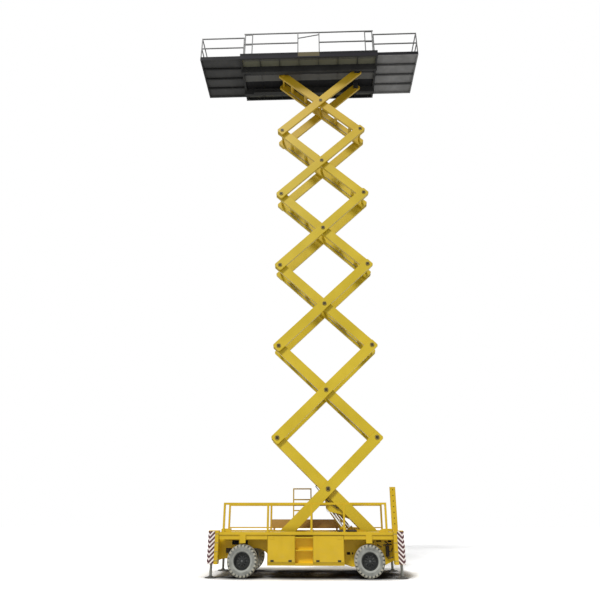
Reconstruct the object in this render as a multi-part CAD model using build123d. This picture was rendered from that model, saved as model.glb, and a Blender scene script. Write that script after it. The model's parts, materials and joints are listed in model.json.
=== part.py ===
from build123d import *
import os
from math import cos, radians, sin, sqrt

# A six-level rough-terrain scissor lift, raised, on its wheels and its four corner jacks.
# Millimetres, +Z up. X runs along the machine and Y across it; the far side (+Y) has the ladder.
# The origin is on the ground under the middle of the platform.

os.makedirs("parts", exist_ok=True)

# ---- clearances
RUNNING = 5.0  # between pieces that move past each other
PIN_GAP = 0.3  # between a pin and its bore
SEAT_GAP = 0.3  # between a curved face and what it rests on
BITE = 1.0  # how far a welded piece runs into what carries it

# ---- scissor stack
LEVELS = 6
ARM_LENGTH = 4600.0  # between an arm's end pins
ARM_DEPTH = 340.0
ARM_WIDTH = 100.0
ARM_WALL = 8.0
ARM_PAD = 130.0  # solid length each side of a pin
ARM_END = 150.0  # from an end pin to the arm's end
ARM_CHAMFER = 45.0
REST_ANGLE = 44.0  # degrees above level, as it stands
INNER_FACE = 290.0  # from the middle to the inner arms
ARM_GAP = 10.0  # between an inner arm and the outer arm beside it
PIN_RADIUS = 45.0
ROLLER_PIN_RADIUS = 40.0
PIN_END = 10.0  # a pin's end, outside its collar
BOSS_RADIUS = 80.0
BOSS_WIDTH = 14.0
CENTRE_PIN_RADIUS = 50.0
CROSS_TUBE_RADIUS = 70.0
CROSS_TUBES = (0.12, 0.3, 0.7, 0.88)  # shares of the arm's length
LOWEST_CROSS_TUBES = (0.24, 0.78)
BASE_PIN_Z = 880.0
FIXED_PIN_X = 2150.0
ROLLER_RADIUS = 75.0
ROLLER_WIDTH = 70.0
ROLLER_COLLAR = 30.0
TRACK_LIP = 15.0
TRACK_MARGIN = 5.0  # from an outer arm's face to the track's mouth
BASE_TRACK_X = (-2600.0, -250.0)
TOP_TRACK_X = (-2600.0, -300.0)
BRACKET_HALF = 130.0  # of a fixed pivot's plates, along X
BRACKET_PLATE = 40.0
BRACKET_RISE = 130.0  # above the pin

# ---- chassis; x values are from the chassis's middle unless a comment says otherwise
CHASSIS_X = -210.0  # the chassis's middle
CHASSIS_LENGTH = 5800.0
MACHINE_WIDTH = 2500.0
WHEELBASE = 3750.0
SIDE_MEMBER_INNER = 600.0
SIDE_MEMBER_WIDTH = 100.0
SIDE_MEMBER_Z = (560.0, 1010.0)
SIDE_MEMBER_WALL = 12.0
ARCH_X = -2440.0  # where the girder's underside steps up, left of the left axle
ARCH_TOP = 770.0
ARCH_CORNER = ((-1490.0, 770.0), (-1400.0, 752.0), (-1290.0, 705.0), (-1200.0, 640.0), (-1150.0, 560.0))
LEFT_CHEEK = ((-2740.0, 410.0), (-2450.0, 500.0), (-2440.0, 561.0), (-2740.0, 561.0))
RIGHT_CHEEK = (
    (1100.0, 561.0), (1100.0, 345.0), (1380.0, 270.0), (2200.0, 270.0), (2355.0, 310.0), (2740.0, 480.0),
    (2740.0, 561.0),
)
GIRDER_OPENINGS = (  # low x, high x, low z and high z, in the girder's outer face
    (-2710.0, -2672.0, 604.0, 766.0), (-2262.0, -2057.0, 862.0, 988.0), (-1932.0, -1781.0, 862.0, 988.0),
    (1230.0, 1335.0, 592.0, 668.0), (1385.0, 1425.0, 600.0, 660.0), (1955.0, 2060.0, 926.0, 958.0),
    (2134.0, 2285.0, 950.0, 984.0), (2480.0, 2590.0, 940.0, 988.0),
)
END_BEAM = 160.0
CROSS_BEAMS = (-1000.0, 0.0, 1000.0)
CROSS_HALF = 90.0
CROSS_Z = (400.0, 480.0)
PIVOT_BEAM_DEPTH = 70.0
LUG_Y = (-550.0, 550.0)  # tie-down lugs on both end beams
LUG_PLATE = 30.0
LUG_REACH = 110.0
LUG_BORE = 25.0
LUG_BORE_AT = 60.0  # from the end beam's face
LUG_HALF = 70.0

DECK_Z = 1230.0
DECK_X = 2585.0
DECK_PLATE = 8.0
DECK_MARGIN = 15.0  # from the machine's side to the deck's edge beam
DECK_EDGE = (60.0, 75.0)  # width and depth of the edge beam
DECK_EDGE_WALL = 5.0
DECK_SKIRT = (30.0, 40.0, 1030.0)  # set in from the edge beam, its width, and its low edge
HANGER = (90.0, 930.0)  # half width and low edge of the bracket over each wheel
WEDGE = ((1520.0, 70.0), (1740.0, 60.0), (1850.0, 0.0), (1520.0, 0.0))  # beside the arms' feet, over the deck
WEDGE_PLATE = 40.0
DECK_RIBS = (-2400.0, -1300.0, 0.0, 1300.0, 2400.0)
DECK_RIB_HALF = 30.0
DECK_RIB_DEPTH = 70.0
WELL_Y = 620.0
WELL_PLATE = 12.0

POD_LENGTH = 2270.0
POD_INNER = 705.0
POD_OUTER = 1205.0
POD_Z = (330.0, 1150.0)
POD_WALL = 6.0
POD_HANGER_Z = (700.0, 900.0)
STEP_X = (-311.0, 209.0)
STEP_DEPTH = 230.0
STEP_Z = (40.0, 390.0)  # above the cabinet's floor
STEP_THICKNESS = 24.0
POD_SILL = (85.0, 45.0)  # height and depth of the slope under the doors
HANDLE_BAR = (50.0, 35.0)  # below the cabinet's top, and its depth
DOOR_THICKNESS = 25.0
DOOR_SKIN = 4.0
DOOR_GAP = 6.0
HINGE_RADIUS = 5.0
LATCH = (95.0, 12.0, 44.0)
LATCH_FROM_END = 135.0
LATCH_RISE = 10.0
CORNER_PLATE = (110.0, 5.0, 90.0)
CORNER_PLATE_DROP = 62.0
ENGINE_TOP = 950.0

# ---- guard frames, ladder, side board and post
GUARD_TUBE = 60.0
GUARD_TOP = 2050.0
GUARD_Y = 1200.0
NEAR_POSTS = (-2460.0, -1135.0, 175.0, 1155.0, 2410.0)
FAR_POSTS = (-2680.0, -1235.0, 160.0, 1155.0, 2540.0)
LOW_RAIL = (50.0, 90.0)  # above the deck, on the far side
POST_GUSSET = ((0.0, 95.0), (90.0, 100.0), (150.0, 70.0), (210.0, 0.0), (0.0, 0.0))  # from an end post inwards
POST_GUSSET_PLATE = 12.0
LADDER_X = (-462.0, 138.0)
LADDER_Y = 1050.0
LADDER_TOP = 2560.0
LADDER_TUBE = 40.0
RUNG_PITCH = 350.0
BOARD_X = (-1200.0, 1100.0)
BOARD_Y = (850.0, 930.0)
BOARD_Z = (1310.0, 1565.0)
BOARD_FEET = (-1100.0, 1000.0)
POST_X = 2673.0
POST_Y = -1065.0
POST_WIDTH = 170.0
POST_DEPTH = 90.0
POST_WALL = 8.0
POST_TOP = 2500.0
POST_HOLE = 16.0
POST_PITCH = 160.0
POST_FIRST_HOLE = 180.0

# ---- wheels, axles and steering
TYRE_RADIUS = 450.0
TYRE_WIDTH = 330.0
TYRE_SHOULDER = 50.0
TYRE_BEAD = (60.0, 40.0)  # its height over the rim, and its slope's width
RIM_RADIUS = 240.0
WHEEL_Y = 1085.0
LUGS = 16  # in each of two rows
LUG_HEIGHT = 28.0
LUG_WIDTH = 62.0
LUG_SLANT = 28.0
LUG_SHARE = 0.8  # of the tread's half width
AXLE_HALF = 780.0
AXLE_DEPTH = 150.0
DIFFERENTIAL_RADIUS = 135.0
DIFFERENTIAL_HALF = 110.0
KINGPIN_Y = 850.0
KINGPIN_RADIUS = 28.0
KNUCKLE_HALF = (48.0, 42.0, 70.0)
YOKE_Z = (75.0, 105.0)
RIM_INSET = 30.0  # from each side of the tyre
RIM_DISH = 130.0  # from the tyre's outer side to the disc
RIM_WALL = 20.0
RIM_HOLES = 6
RIM_HOLE = 22.0
RIM_HOLE_IN = 75.0  # from the rim's outside
RIM_HUB = (55.0, 35.0)  # outwards and inwards from the disc
HUB_CAP = 30.0
HUB_RADIUS = 105.0
HUB_SHOULDER = 68.0
SPINDLE_RADIUS = 45.0
SPINDLE_END = 40.0  # past the wheel's middle

# ---- corner jacks
JACK_X = 2800.0
JACK_Y = 1085.0
JACK_Z = (365.0, 1275.0)
JACK_WIDTH = (310.0, 284.0)
JACK_SHIFT = 50.0  # from the leg to the column's middle
JACK_WALL = 12.0
JACK_TUBE_RADIUS = 55.0
JACK_LEG_RADIUS = 40.0
JACK_LEG_TOP = 795.0
FOOT_RADIUS = 160.0
FOOT_PLATE = 25.0
FOOT_CROWN = (90.0, 50.0, 35.0)  # lower radius, upper radius, height
CHEVRON_WIDTH = 200.0
CHEVRON_THICKNESS = 6.0

# ---- platform, heights above the scissor's top pins
PLATFORM_LENGTH = 9600.0
MAIN_LENGTH = 6040.0
MAIN_BOTTOM = 130.0
WELL_BOTTOM = 208.0
MAIN_FLOOR = 244.0
EXTENSION_BOTTOM = 250.0
EXTENSION_FLOOR = 330.0
EXTENSION_FASCIA_TOP = 420.0
MAIN_FASCIA_TOP = 430.0
RAIL_TOP = 1630.0
FASCIA = 10.0
FASCIA_FLANGE = (70.0, 8.0)
END_TIE = 80.0
MAIN_BEAM = 100.0
MAIN_BEAM_BOTTOM = -95.0
MAIN_BEAM_WALL = 8.0
MAIN_BAYS = 7
RIB_HALF = 8.0
RIB_SHORTFALL = 20.0
EAR_HALF = 110.0
EAR_BOTTOM = -100.0
PLATE = 6.0
EXTENSION_INSET = 115.0  # each side, inside the main deck
EXTENSION_OVERLAP = 150.0
EXTENSION_DROP = 90.0  # of its rail below the main rail
EXTENSION_FASCIA = 8.0
EXTENSION_EDGE = 60.0
EXTENSION_TIE = 50.0
RAIL_TUBE = 40.0
RAIL_END = 150.0  # from the main deck's end to its rails
CLAMPED_POSTS = (200.0, 520.0)  # from the main deck's end
CLAMP = (60.0, 52.0)  # height and width of the sleeves over the rails
GATE_HALF = 470.0
GATE_BAR = 30.0
GATE_DROP = (300.0, 110.0)  # of the bar's ends below the top rail
GATE_PIN_RADIUS = 8.0

# ---- lift cylinders: x and z of the lower eye, from the chassis's middle and the ground; the upper
# eye's distance along and below inner arm 1, from its lower pin; and the cylinder's y
CYLINDERS = {
    "near": dict(lower=(1560.0, 750.0), along=1860.0, below=406.0, y=-150.0),
    "far": dict(lower=(1800.0, 800.0), along=1660.0, below=300.0, y=150.0),
}
BARREL_RADIUS = 95.0
BARREL_BLIND = 130.0  # from the lower eye to the bore's bottom
GLAND_STEP = 12.0
GLAND_LENGTH = 60.0
ROD_RADIUS = 60.0
ROD_SHOWING = 640.0  # at rest, from the upper eye to the barrel's mouth
ROD_HIDDEN = 300.0
EYE_RADIUS = 105.0
EYE_WIDTH = 110.0
EAR_THICKNESS = 25.0
EAR_RADIUS = 80.0
EAR_GAP = 3.0
EAR_BEAM = (110.0, 60.0)  # half length and depth
GUSSET_FEET = (-520.0, 620.0)  # along the arm, from the upper eye
GUSSET_TIP = (-90.0, 60.0)  # the same, of the plates' low ends
GUSSET_HANG = 60.0  # of the low ends, under the upper eye
GUSSET_WELD = 105.0  # how high the plates run up inside the beams
GUSSET_LIP = 60.0  # above the beams' undersides, where the plates start to slope
GUSSET_TIE = (70.0, 100.0, 20.0)  # from the plates' left and right feet to the tie plate, and its depth

# ---- worked out
GUSSET_REACH = BARREL_RADIUS + GLAND_STEP + RUNNING  # from a cylinder's middle to each gusset plate
RISE = ARM_LENGTH * sin(radians(REST_ANGLE))
SPAN = ARM_LENGTH * cos(radians(REST_ANGLE))
TOP_PIN_Z = BASE_PIN_Z + LEVELS * RISE
SLIDER_X = FIXED_PIN_X - SPAN
INNER_OUTSIDE = INNER_FACE + ARM_WIDTH
OUTER_INSIDE = INNER_OUTSIDE + ARM_GAP
OUTER_OUTSIDE = OUTER_INSIDE + ARM_WIDTH
TRACK_Y = OUTER_OUTSIDE + TRACK_MARGIN
SIDE_MEMBER_OUTER = SIDE_MEMBER_INNER + SIDE_MEMBER_WIDTH
HALF_WIDTH = MACHINE_WIDTH / 2
JACK_OUTER = HALF_WIDTH - CHEVRON_THICKNESS
HALF_CHASSIS = CHASSIS_LENGTH / 2
HALF_POD = POD_LENGTH / 2
LEFT_DOOR = (-HALF_POD + POD_WALL, STEP_X[0] - POD_WALL)
RIGHT_DOOR = (STEP_X[1] + POD_WALL, HALF_POD - POD_WALL)


# ================================================================ tools


def block(x, y, z):
    """A box between low and high values of x, y and z."""
    middle = Pos((x[0] + x[1]) / 2, (y[0] + y[1]) / 2, (z[0] + z[1]) / 2)
    return middle * Box(x[1] - x[0], y[1] - y[0], z[1] - z[0])


def round_y(x, z, radius, y):
    """A round bar along Y, between a low and a high y."""
    return Pos(x, (y[0] + y[1]) / 2, z) * Rot(90, 0, 0) * Cylinder(radius, y[1] - y[0])


def round_z(x, y, radius, z):
    """A round bar along Z, between a low and a high z."""
    return Pos(x, y, (z[0] + z[1]) / 2) * Cylinder(radius, z[1] - z[0])


def tube_box(x, y, z, wall, open_ends="x"):
    """A square tube, open at the ends of the named axis."""
    inside = {}
    for name, (low, high) in zip("xyz", (x, y, z)):
        inside[name] = (low - BITE, high + BITE) if name == open_ends else (low + wall, high - wall)
    return block(x, y, z) - block(inside["x"], inside["y"], inside["z"])


def plate_xz(points, y):
    """A plate across Y between a low and a high y, with its outline given in x and z."""
    face = Plane.XZ * make_face(Polyline(*points, close=True))
    return Pos(0, y[0], 0) * extrude(face, amount=-(y[1] - y[0]))


def across(shape):
    """A shape and its mirror image on the machine's other side."""
    return [shape, mirror(shape, about=Plane.XZ)]


def fuse(shapes):
    return Part() + list(shapes)


def from_middle(*xs):
    """x values measured from the chassis's middle."""
    return tuple(CHASSIS_X + x for x in xs)


def about(middle, half):
    """The low and high value of what lies evenly about a middle."""
    return (middle - half, middle + half)


def above(*heights):
    """z values measured from the scissor's top pins."""
    return tuple(TOP_PIN_Z + h for h in heights)


NODES = {}


def keep(name, *shapes):
    """Solids of one node: those that touch are fused, the others share the node."""
    NODES[name] = fuse(shapes)


# ================================================================ chassis


def side_member():
    """The near main girder: a box that arches over the left axle, with cheeks below and openings."""
    y = (-SIDE_MEMBER_OUTER, -SIDE_MEMBER_INNER)
    low, top = SIDE_MEMBER_Z
    end = HALF_CHASSIS - END_BEAM
    outline = ((-end, top), (-end, low), (ARCH_X, low), (ARCH_X, ARCH_TOP), *ARCH_CORNER, (end, low), (end, top))
    face = make_face(Polyline(*outline, close=True))
    core = offset(face, -SIDE_MEMBER_WALL, kind=Kind.INTERSECTION)
    girder = Pos(0, y[1], 0) * extrude(Plane.XZ * face, amount=y[1] - y[0])
    inside = y[1] - y[0] - 2 * SIDE_MEMBER_WALL
    girder -= Pos(0, y[1] - SIDE_MEMBER_WALL, 0) * extrude(Plane.XZ * core, amount=inside)
    web = (y[0], y[0] + SIDE_MEMBER_WALL)
    for cheek in (LEFT_CHEEK, RIGHT_CHEEK):
        girder += plate_xz(cheek, web)
    gap = AXLE_DEPTH / 2 + RUNNING
    cuts = [(WHEELBASE / 2 - gap, WHEELBASE / 2 + gap, 0, low), *GIRDER_OPENINGS]
    for left, right, bottom, over in cuts:
        girder -= block((left, right), (web[0] - BITE, web[1] + BITE), (bottom, over))
    return Pos(CHASSIS_X, 0, 0) * girder


def roller_track(x, pin_z):
    """A channel, open towards the middle, that a roller runs in."""
    half = ROLLER_RADIUS + SEAT_GAP
    y = (-SIDE_MEMBER_INNER, -TRACK_Y)
    channel = block(x, y, about(pin_z, half + TRACK_LIP))
    return channel - block((x[0] - BITE, x[1] + BITE), (y[0] + TRACK_LIP, y[1] + BITE), about(pin_z, half))


def fixed_pivot():
    """Two bracket plates beside an inner arm's foot, with the pin through them."""
    x = about(FIXED_PIN_X, BRACKET_HALF)
    z = (SIDE_MEMBER_Z[0], BASE_PIN_Z + BRACKET_RISE)
    inner = block(x, (-INNER_FACE + RUNNING, -INNER_FACE + RUNNING + BRACKET_PLATE), z)
    outer = block(x, (-INNER_OUTSIDE - RUNNING - BRACKET_PLATE, -INNER_OUTSIDE - RUNNING), z)
    end = INNER_OUTSIDE + RUNNING + BRACKET_PLATE + 2 * PIN_END
    return [inner, outer, round_y(FIXED_PIN_X, BASE_PIN_Z, PIN_RADIUS, (-end, 0))]


def tie_down_lugs():
    """Bored plates on both end beams, for lashing the machine down."""
    lugs = []
    middle = sum(SIDE_MEMBER_Z) / 2
    for side in (-1, 1):
        face = CHASSIS_X + side * HALF_CHASSIS
        for y in LUG_Y:
            x = sorted((face - side * BITE, face + side * LUG_REACH))
            lug = block(x, about(y, LUG_PLATE / 2), about(middle, LUG_HALF))
            lugs.append(lug - round_y(face + side * LUG_BORE_AT, middle, LUG_BORE, about(y, LUG_PLATE)))
    return lugs


def cylinder_mount(c):
    """Two clevis plates and a pin that hold a lift cylinder's lower eye, on a beam between the girders."""
    x, eye_z = CHASSIS_X + c["lower"][0], c["lower"][1]
    top = eye_z - EYE_RADIUS - BRACKET_PLATE
    shapes = [block(about(x, EAR_BEAM[0]), about(0, SIDE_MEMBER_INNER), (top - EAR_BEAM[1], top))]
    for side in (-1, 1):
        near = c["y"] + side * (EYE_WIDTH / 2 + EAR_GAP)
        y = sorted((near, near + side * EAR_THICKNESS))
        shapes.append(block(about(x, EAR_RADIUS), y, (top - BITE, eye_z)))
        shapes.append(round_y(x, eye_z, EAR_RADIUS, y))
    shapes.append(round_y(x, eye_z, PIN_RADIUS, about(c["y"], EYE_WIDTH / 2 + EAR_THICKNESS + PIN_END)))
    return fuse(shapes)


def main_frame():
    """The end beams across the girders' ends, and the lashing eyes."""
    shapes = []
    for side in (-1, 1):
        x = sorted((side * HALF_CHASSIS, side * (HALF_CHASSIS - END_BEAM)))
        shapes.append(tube_box(
            from_middle(*x), about(0, JACK_OUTER - JACK_WIDTH[1]), SIDE_MEMBER_Z, SIDE_MEMBER_WALL, "y",
        ))
    return fuse(shapes + tie_down_lugs())


def cross_beam(at):
    """A beam under the girders, hung from them by a foot at each end."""
    x = from_middle(*about(at, CROSS_HALF))
    foot = (-SIDE_MEMBER_OUTER, -SIDE_MEMBER_INNER + BRACKET_PLATE)
    return fuse([block(x, about(0, SIDE_MEMBER_INNER), CROSS_Z)] + across(
        block(x, foot, (CROSS_Z[0], SIDE_MEMBER_Z[0])),
    ))


def arm_pivots():
    """A beam between the girders with the bracket plates and pins of the inner arms' feet."""
    shapes = [block(
        about(FIXED_PIN_X, BRACKET_HALF), about(0, SIDE_MEMBER_INNER),
        (SIDE_MEMBER_Z[0], SIDE_MEMBER_Z[0] + PIVOT_BEAM_DEPTH),
    )]
    for piece in fixed_pivot():
        shapes += across(piece)
    return fuse(shapes)


def upper_deck():
    """The walkways each side of the well, with an edge beam and skirt, on ribs over the girders."""
    x = from_middle(-DECK_X, DECK_X)
    edge = -HALF_WIDTH + DECK_MARGIN
    under = DECK_Z - DECK_EDGE[1]
    inset, skirt, skirt_z = DECK_SKIRT
    shapes = []
    for ends in ((-DECK_X, -HALF_POD - RUNNING), (HALF_POD + RUNNING, DECK_X)):
        skirt_y = (edge + inset, edge + inset + skirt)
        shapes += across(tube_box(from_middle(*ends), skirt_y, (skirt_z, under + BITE), DECK_EDGE_WALL))
    half, low = HANGER
    for axle_x in (-WHEELBASE / 2, WHEELBASE / 2):
        over = from_middle(*about(axle_x, half))
        shapes += across(block(over, (edge, edge + inset + BITE), (low, under + BITE)))
    wedge = [(CHASSIS_X + at, DECK_Z - BITE + rise) for at, rise in WEDGE]
    shapes += across(plate_xz(wedge, (-WELL_Y - WEDGE_PLATE, -WELL_Y)))
    shapes += across(block(x, (edge, -WELL_Y), (DECK_Z - DECK_PLATE, DECK_Z)))
    shapes += across(tube_box(x, (edge, edge + DECK_EDGE[0]), (under, DECK_Z), DECK_EDGE_WALL))
    shapes += across(block(x, (-WELL_Y - WELL_PLATE, -WELL_Y), (SIDE_MEMBER_Z[1], DECK_Z)))
    for at in DECK_RIBS:
        rib = from_middle(*about(at, DECK_RIB_HALF))
        top = DECK_Z - DECK_PLATE + BITE
        shapes += across(block(rib, (edge + DECK_EDGE_WALL, -WELL_Y), (DECK_Z - DECK_RIB_DEPTH, top)))
        shapes += across(block(rib, (-SIDE_MEMBER_OUTER, -WELL_Y), (SIDE_MEMBER_Z[1], top)))
    return fuse(shapes)


def guard_frames():
    """A square-tube frame along each side of the deck; the far one has a low rail as well."""
    half = GUARD_TUBE / 2
    frames = []
    for side, posts in ((-1, NEAR_POSTS), (1, FAR_POSTS)):
        y = about(side * GUARD_Y, half)
        ends = from_middle(posts[0] - half, posts[-1] + half)
        frames.append(block(ends, y, (GUARD_TOP - GUARD_TUBE, GUARD_TOP)))
        for x in posts:
            foot = DECK_Z if abs(x) < DECK_X else JACK_Z[1]
            frames.append(block(from_middle(*about(x, half)), y, (foot, GUARD_TOP - half)))
        if side > 0:
            frames.append(block(ends, about(GUARD_Y, half / 2), tuple(DECK_Z + rise for rise in LOW_RAIL)))
            continue
        for post, inwards in ((posts[0] + half, 1), (posts[-1] - half, -1)):
            outline = [
                (CHASSIS_X + post + inwards * (at - BITE), DECK_Z + rise) for at, rise in POST_GUSSET
            ]
            frames.append(plate_xz(outline, about(-GUARD_Y, POST_GUSSET_PLATE / 2)))
    return fuse(frames)


def ladder():
    """A ladder on the far side's deck that reaches over the guard frame."""
    y = (LADDER_Y, LADDER_Y + LADDER_TUBE)
    shapes = [block(from_middle(*about(x, LADDER_TUBE / 2)), y, (DECK_Z, LADDER_TOP)) for x in LADDER_X]
    z = LADDER_TOP - LADDER_TUBE
    while z > DECK_Z + RUNG_PITCH / 3:
        shapes.append(block(from_middle(*LADDER_X), y, (z, z + LADDER_TUBE)))
        z -= RUNG_PITCH
    return fuse(shapes)


def side_board():
    """A long box beam above the far walkway, on two feet."""
    beam = block(from_middle(*BOARD_X), BOARD_Y, BOARD_Z)
    foot_y = about(sum(BOARD_Y) / 2, GUARD_TUBE / 2)
    return fuse([beam] + [
        block(from_middle(*about(x, GUARD_TUBE / 2)), foot_y, (DECK_Z, BOARD_Z[0] + BITE)) for x in BOARD_FEET
    ])


def pod():
    """The near side cabinet: two compartments over sloping sills, with the step bay between them."""
    y = (-POD_OUTER, -POD_INNER)
    sill, slope = POD_SILL
    floor = POD_Z[0] + sill
    shell = block(from_middle(-HALF_POD, HALF_POD), y, POD_Z)
    under = make_face(Polyline(
        (y[0] - BITE, POD_Z[0] - BITE), (y[0] + slope, POD_Z[0] - BITE), (y[0] + slope, POD_Z[0]),
        (y[0], floor), (y[0] - BITE, floor), close=True,
    ))
    inside = (y[0] - BITE, y[1] - POD_WALL)
    for low, high in (LEFT_DOOR, RIGHT_DOOR):
        shell -= block(from_middle(low, high), inside, (floor + POD_WALL, POD_Z[1] - POD_WALL))
        length = high - low + 2 * POD_WALL
        shell -= Pos(CHASSIS_X + low - POD_WALL, 0, 0) * extrude(Plane.YZ * under, amount=length)
    bar_top = POD_Z[1] - HANDLE_BAR[0]
    for z in ((POD_Z[0] + STEP_Z[0], bar_top - HANDLE_BAR[1]), (bar_top, POD_Z[1] - POD_WALL)):
        shell -= block(from_middle(*STEP_X), (y[0] - BITE, y[0] + STEP_DEPTH), z)
    shapes = [shell]
    for rise in STEP_Z:
        z = POD_Z[0] + rise
        tread = (y[0] + 2 * PIN_END, y[0] + STEP_DEPTH + BITE)
        shapes.append(block(from_middle(*STEP_X), tread, (z - BITE, z + STEP_THICKNESS)))
    shapes.append(block(
        from_middle(-HALF_POD, HALF_POD), (-POD_INNER - BITE, -SIDE_MEMBER_OUTER), POD_HANGER_Z,
    ))
    return fuse(shapes)


def door(x, hinge_low):
    """A near pan door with a hinge pin down one edge, two latches and a corner plate."""
    low, high = x[0] + DOOR_GAP, x[1] - DOOR_GAP
    z = (POD_Z[0] + POD_SILL[0] + POD_WALL + DOOR_GAP, POD_Z[1] - POD_WALL - DOOR_GAP)
    y = (-POD_OUTER, -POD_OUTER + DOOR_THICKNESS)
    leaf = block(from_middle(low, high), y, z)
    leaf -= block(
        from_middle(low + DOOR_SKIN, high - DOOR_SKIN), (y[0] + DOOR_SKIN, y[1] + BITE),
        (z[0] + DOOR_SKIN, z[1] - DOOR_SKIN),
    )
    hinge_x = low + HINGE_RADIUS if hinge_low else high - HINGE_RADIUS
    reach = DOOR_GAP - SEAT_GAP
    pin_z = (z[0] - reach, z[1] + reach)
    shapes = [leaf, round_z(CHASSIS_X + hinge_x, y[0] + HINGE_RADIUS, HINGE_RADIUS, pin_z)]
    for at in (low + LATCH_FROM_END, high - LATCH_FROM_END):
        shapes.append(block(
            from_middle(*about(at, LATCH[0] / 2)), (y[0] - LATCH[1], y[0] + BITE),
            (z[0] + LATCH_RISE, z[0] + LATCH_RISE + LATCH[2]),
        ))
    corner = low + CORNER_PLATE[0] if hinge_low else high - CORNER_PLATE[0]
    shapes.append(block(
        from_middle(*about(corner, CORNER_PLATE[0] / 2)), (y[0] - CORNER_PLATE[1], y[0] + BITE),
        about(z[1] - CORNER_PLATE_DROP, CORNER_PLATE[2] / 2),
    ))
    return fuse(shapes)


def axle(x, steered):
    """A beam axle under the girders, with its drive housing; the fixed one carries its hubs."""
    centre = CHASSIS_X + x
    z = TYRE_RADIUS
    half = AXLE_DEPTH / 2
    end = AXLE_HALF - BRACKET_PLATE
    shapes = [block(about(centre, half), about(0, end), about(z, half))]
    shapes.append(round_y(centre, z, DIFFERENTIAL_RADIUS, about(0, DIFFERENTIAL_HALF)))
    girder = (-SIDE_MEMBER_OUTER, -SIDE_MEMBER_INNER)
    shapes += across(block(about(centre, half), girder, (z, SIDE_MEMBER_Z[0] if steered else ARCH_TOP)))
    if steered:
        low, high = YOKE_Z
        for side in (-1, 1):
            y = sorted((side * (end - BITE), side * (KINGPIN_Y + KNUCKLE_HALF[1] - 2 * BITE)))
            for jaw in ((z - high, z - low), (z + low, z + high)):
                shapes.append(block(about(centre, KNUCKLE_HALF[0]), y, jaw))
            root = sorted((side * (end - BITE), side * (end - BRACKET_PLATE)))
            shapes.append(block(about(centre, KNUCKLE_HALF[0]), root, about(z, high)))
            shapes.append(round_z(centre, side * KINGPIN_Y, KINGPIN_RADIUS, about(z, high + PIN_END)))
    else:
        shapes += across(round_y(centre, z, SPINDLE_RADIUS, (-WHEEL_Y - SPINDLE_END, -end + BITE)))
        shapes += across(round_y(centre, z, HUB_SHOULDER, (-WHEEL_Y + HUB_RADIUS, -end + BITE)))
    return fuse(shapes)


def knuckle(side):
    """A steering knuckle on its kingpin, with the wheel's spindle."""
    centre = CHASSIS_X + WHEELBASE / 2
    z = TYRE_RADIUS
    y = side * KINGPIN_Y
    half_x, half_y, half_z = KNUCKLE_HALF
    body = block(about(centre, half_x), about(y, half_y), about(z, half_z))
    body -= round_z(centre, y, KINGPIN_RADIUS + PIN_GAP, about(z, half_z + BITE))
    root = y + side * (half_y - BITE)
    spindle = round_y(centre, z, SPINDLE_RADIUS, sorted((root, side * (WHEEL_Y + SPINDLE_END))))
    shoulder = round_y(centre, z, HUB_SHOULDER, sorted((root, side * (WHEEL_Y - HUB_RADIUS))))
    return fuse([body, spindle, shoulder])


def tyre(x, side):
    """A tyre with one flat of its tread under each lug, and two rows of slanted lugs."""
    half = TYRE_WIDTH / 2
    sides = 2 * LUGS
    base = TYRE_RADIUS - LUG_HEIGHT
    bead_height, bead_slope = TYRE_BEAD
    rings = (  # half width of the section, and its radius
        (half, RIM_RADIUS + bead_height), (half, base - TYRE_SHOULDER), (half - TYRE_SHOULDER, base),
    )
    carcass = extrude(RegularPolygon(base, sides, major_radius=False), amount=half - TYRE_SHOULDER, both=True)
    wide = rings[1][1] / rings[2][1]
    shoulder = loft([
        Pos(0, 0, half - TYRE_SHOULDER) * RegularPolygon(base, sides, major_radius=False),
        Pos(0, 0, half) * RegularPolygon(base * wide, sides, major_radius=False),
    ])
    carcass = fuse([carcass, shoulder, mirror(shoulder, about=Plane.XY)])
    lug_length = half * LUG_SHARE
    slant = radians(LUG_SLANT)
    lug_reach = LUG_WIDTH / 2 * cos(slant) + lug_length / 2 * sin(slant)
    lug_top = sqrt(TYRE_RADIUS ** 2 - lug_reach ** 2)
    lug_bottom = base - TYRE_SHOULDER / 2
    shapes = [carcass]
    for n in range(LUGS):
        for row, turn in ((-1, 0.0), (1, 180.0 / LUGS)):
            place = Rot(0, 0, 360.0 * n / LUGS + turn) * Pos((lug_top + lug_bottom) / 2, 0, row * half / 2)
            shapes.append(place * Rot(row * LUG_SLANT, 0, 0) * Box(lug_top - lug_bottom, LUG_WIDTH, lug_length))
    seat = Cylinder(RIM_RADIUS + SEAT_GAP, TYRE_WIDTH + BITE)
    lip = Pos(0, 0, half - bead_slope / 2) * Cone(RIM_RADIUS + SEAT_GAP, RIM_RADIUS + bead_height, bead_slope)
    whole = fuse(shapes) - seat - lip - mirror(lip, about=Plane.XY)
    return Pos(CHASSIS_X + x, side * WHEEL_Y, TYRE_RADIUS) * Rot(90, 0, 0) * whole


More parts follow.
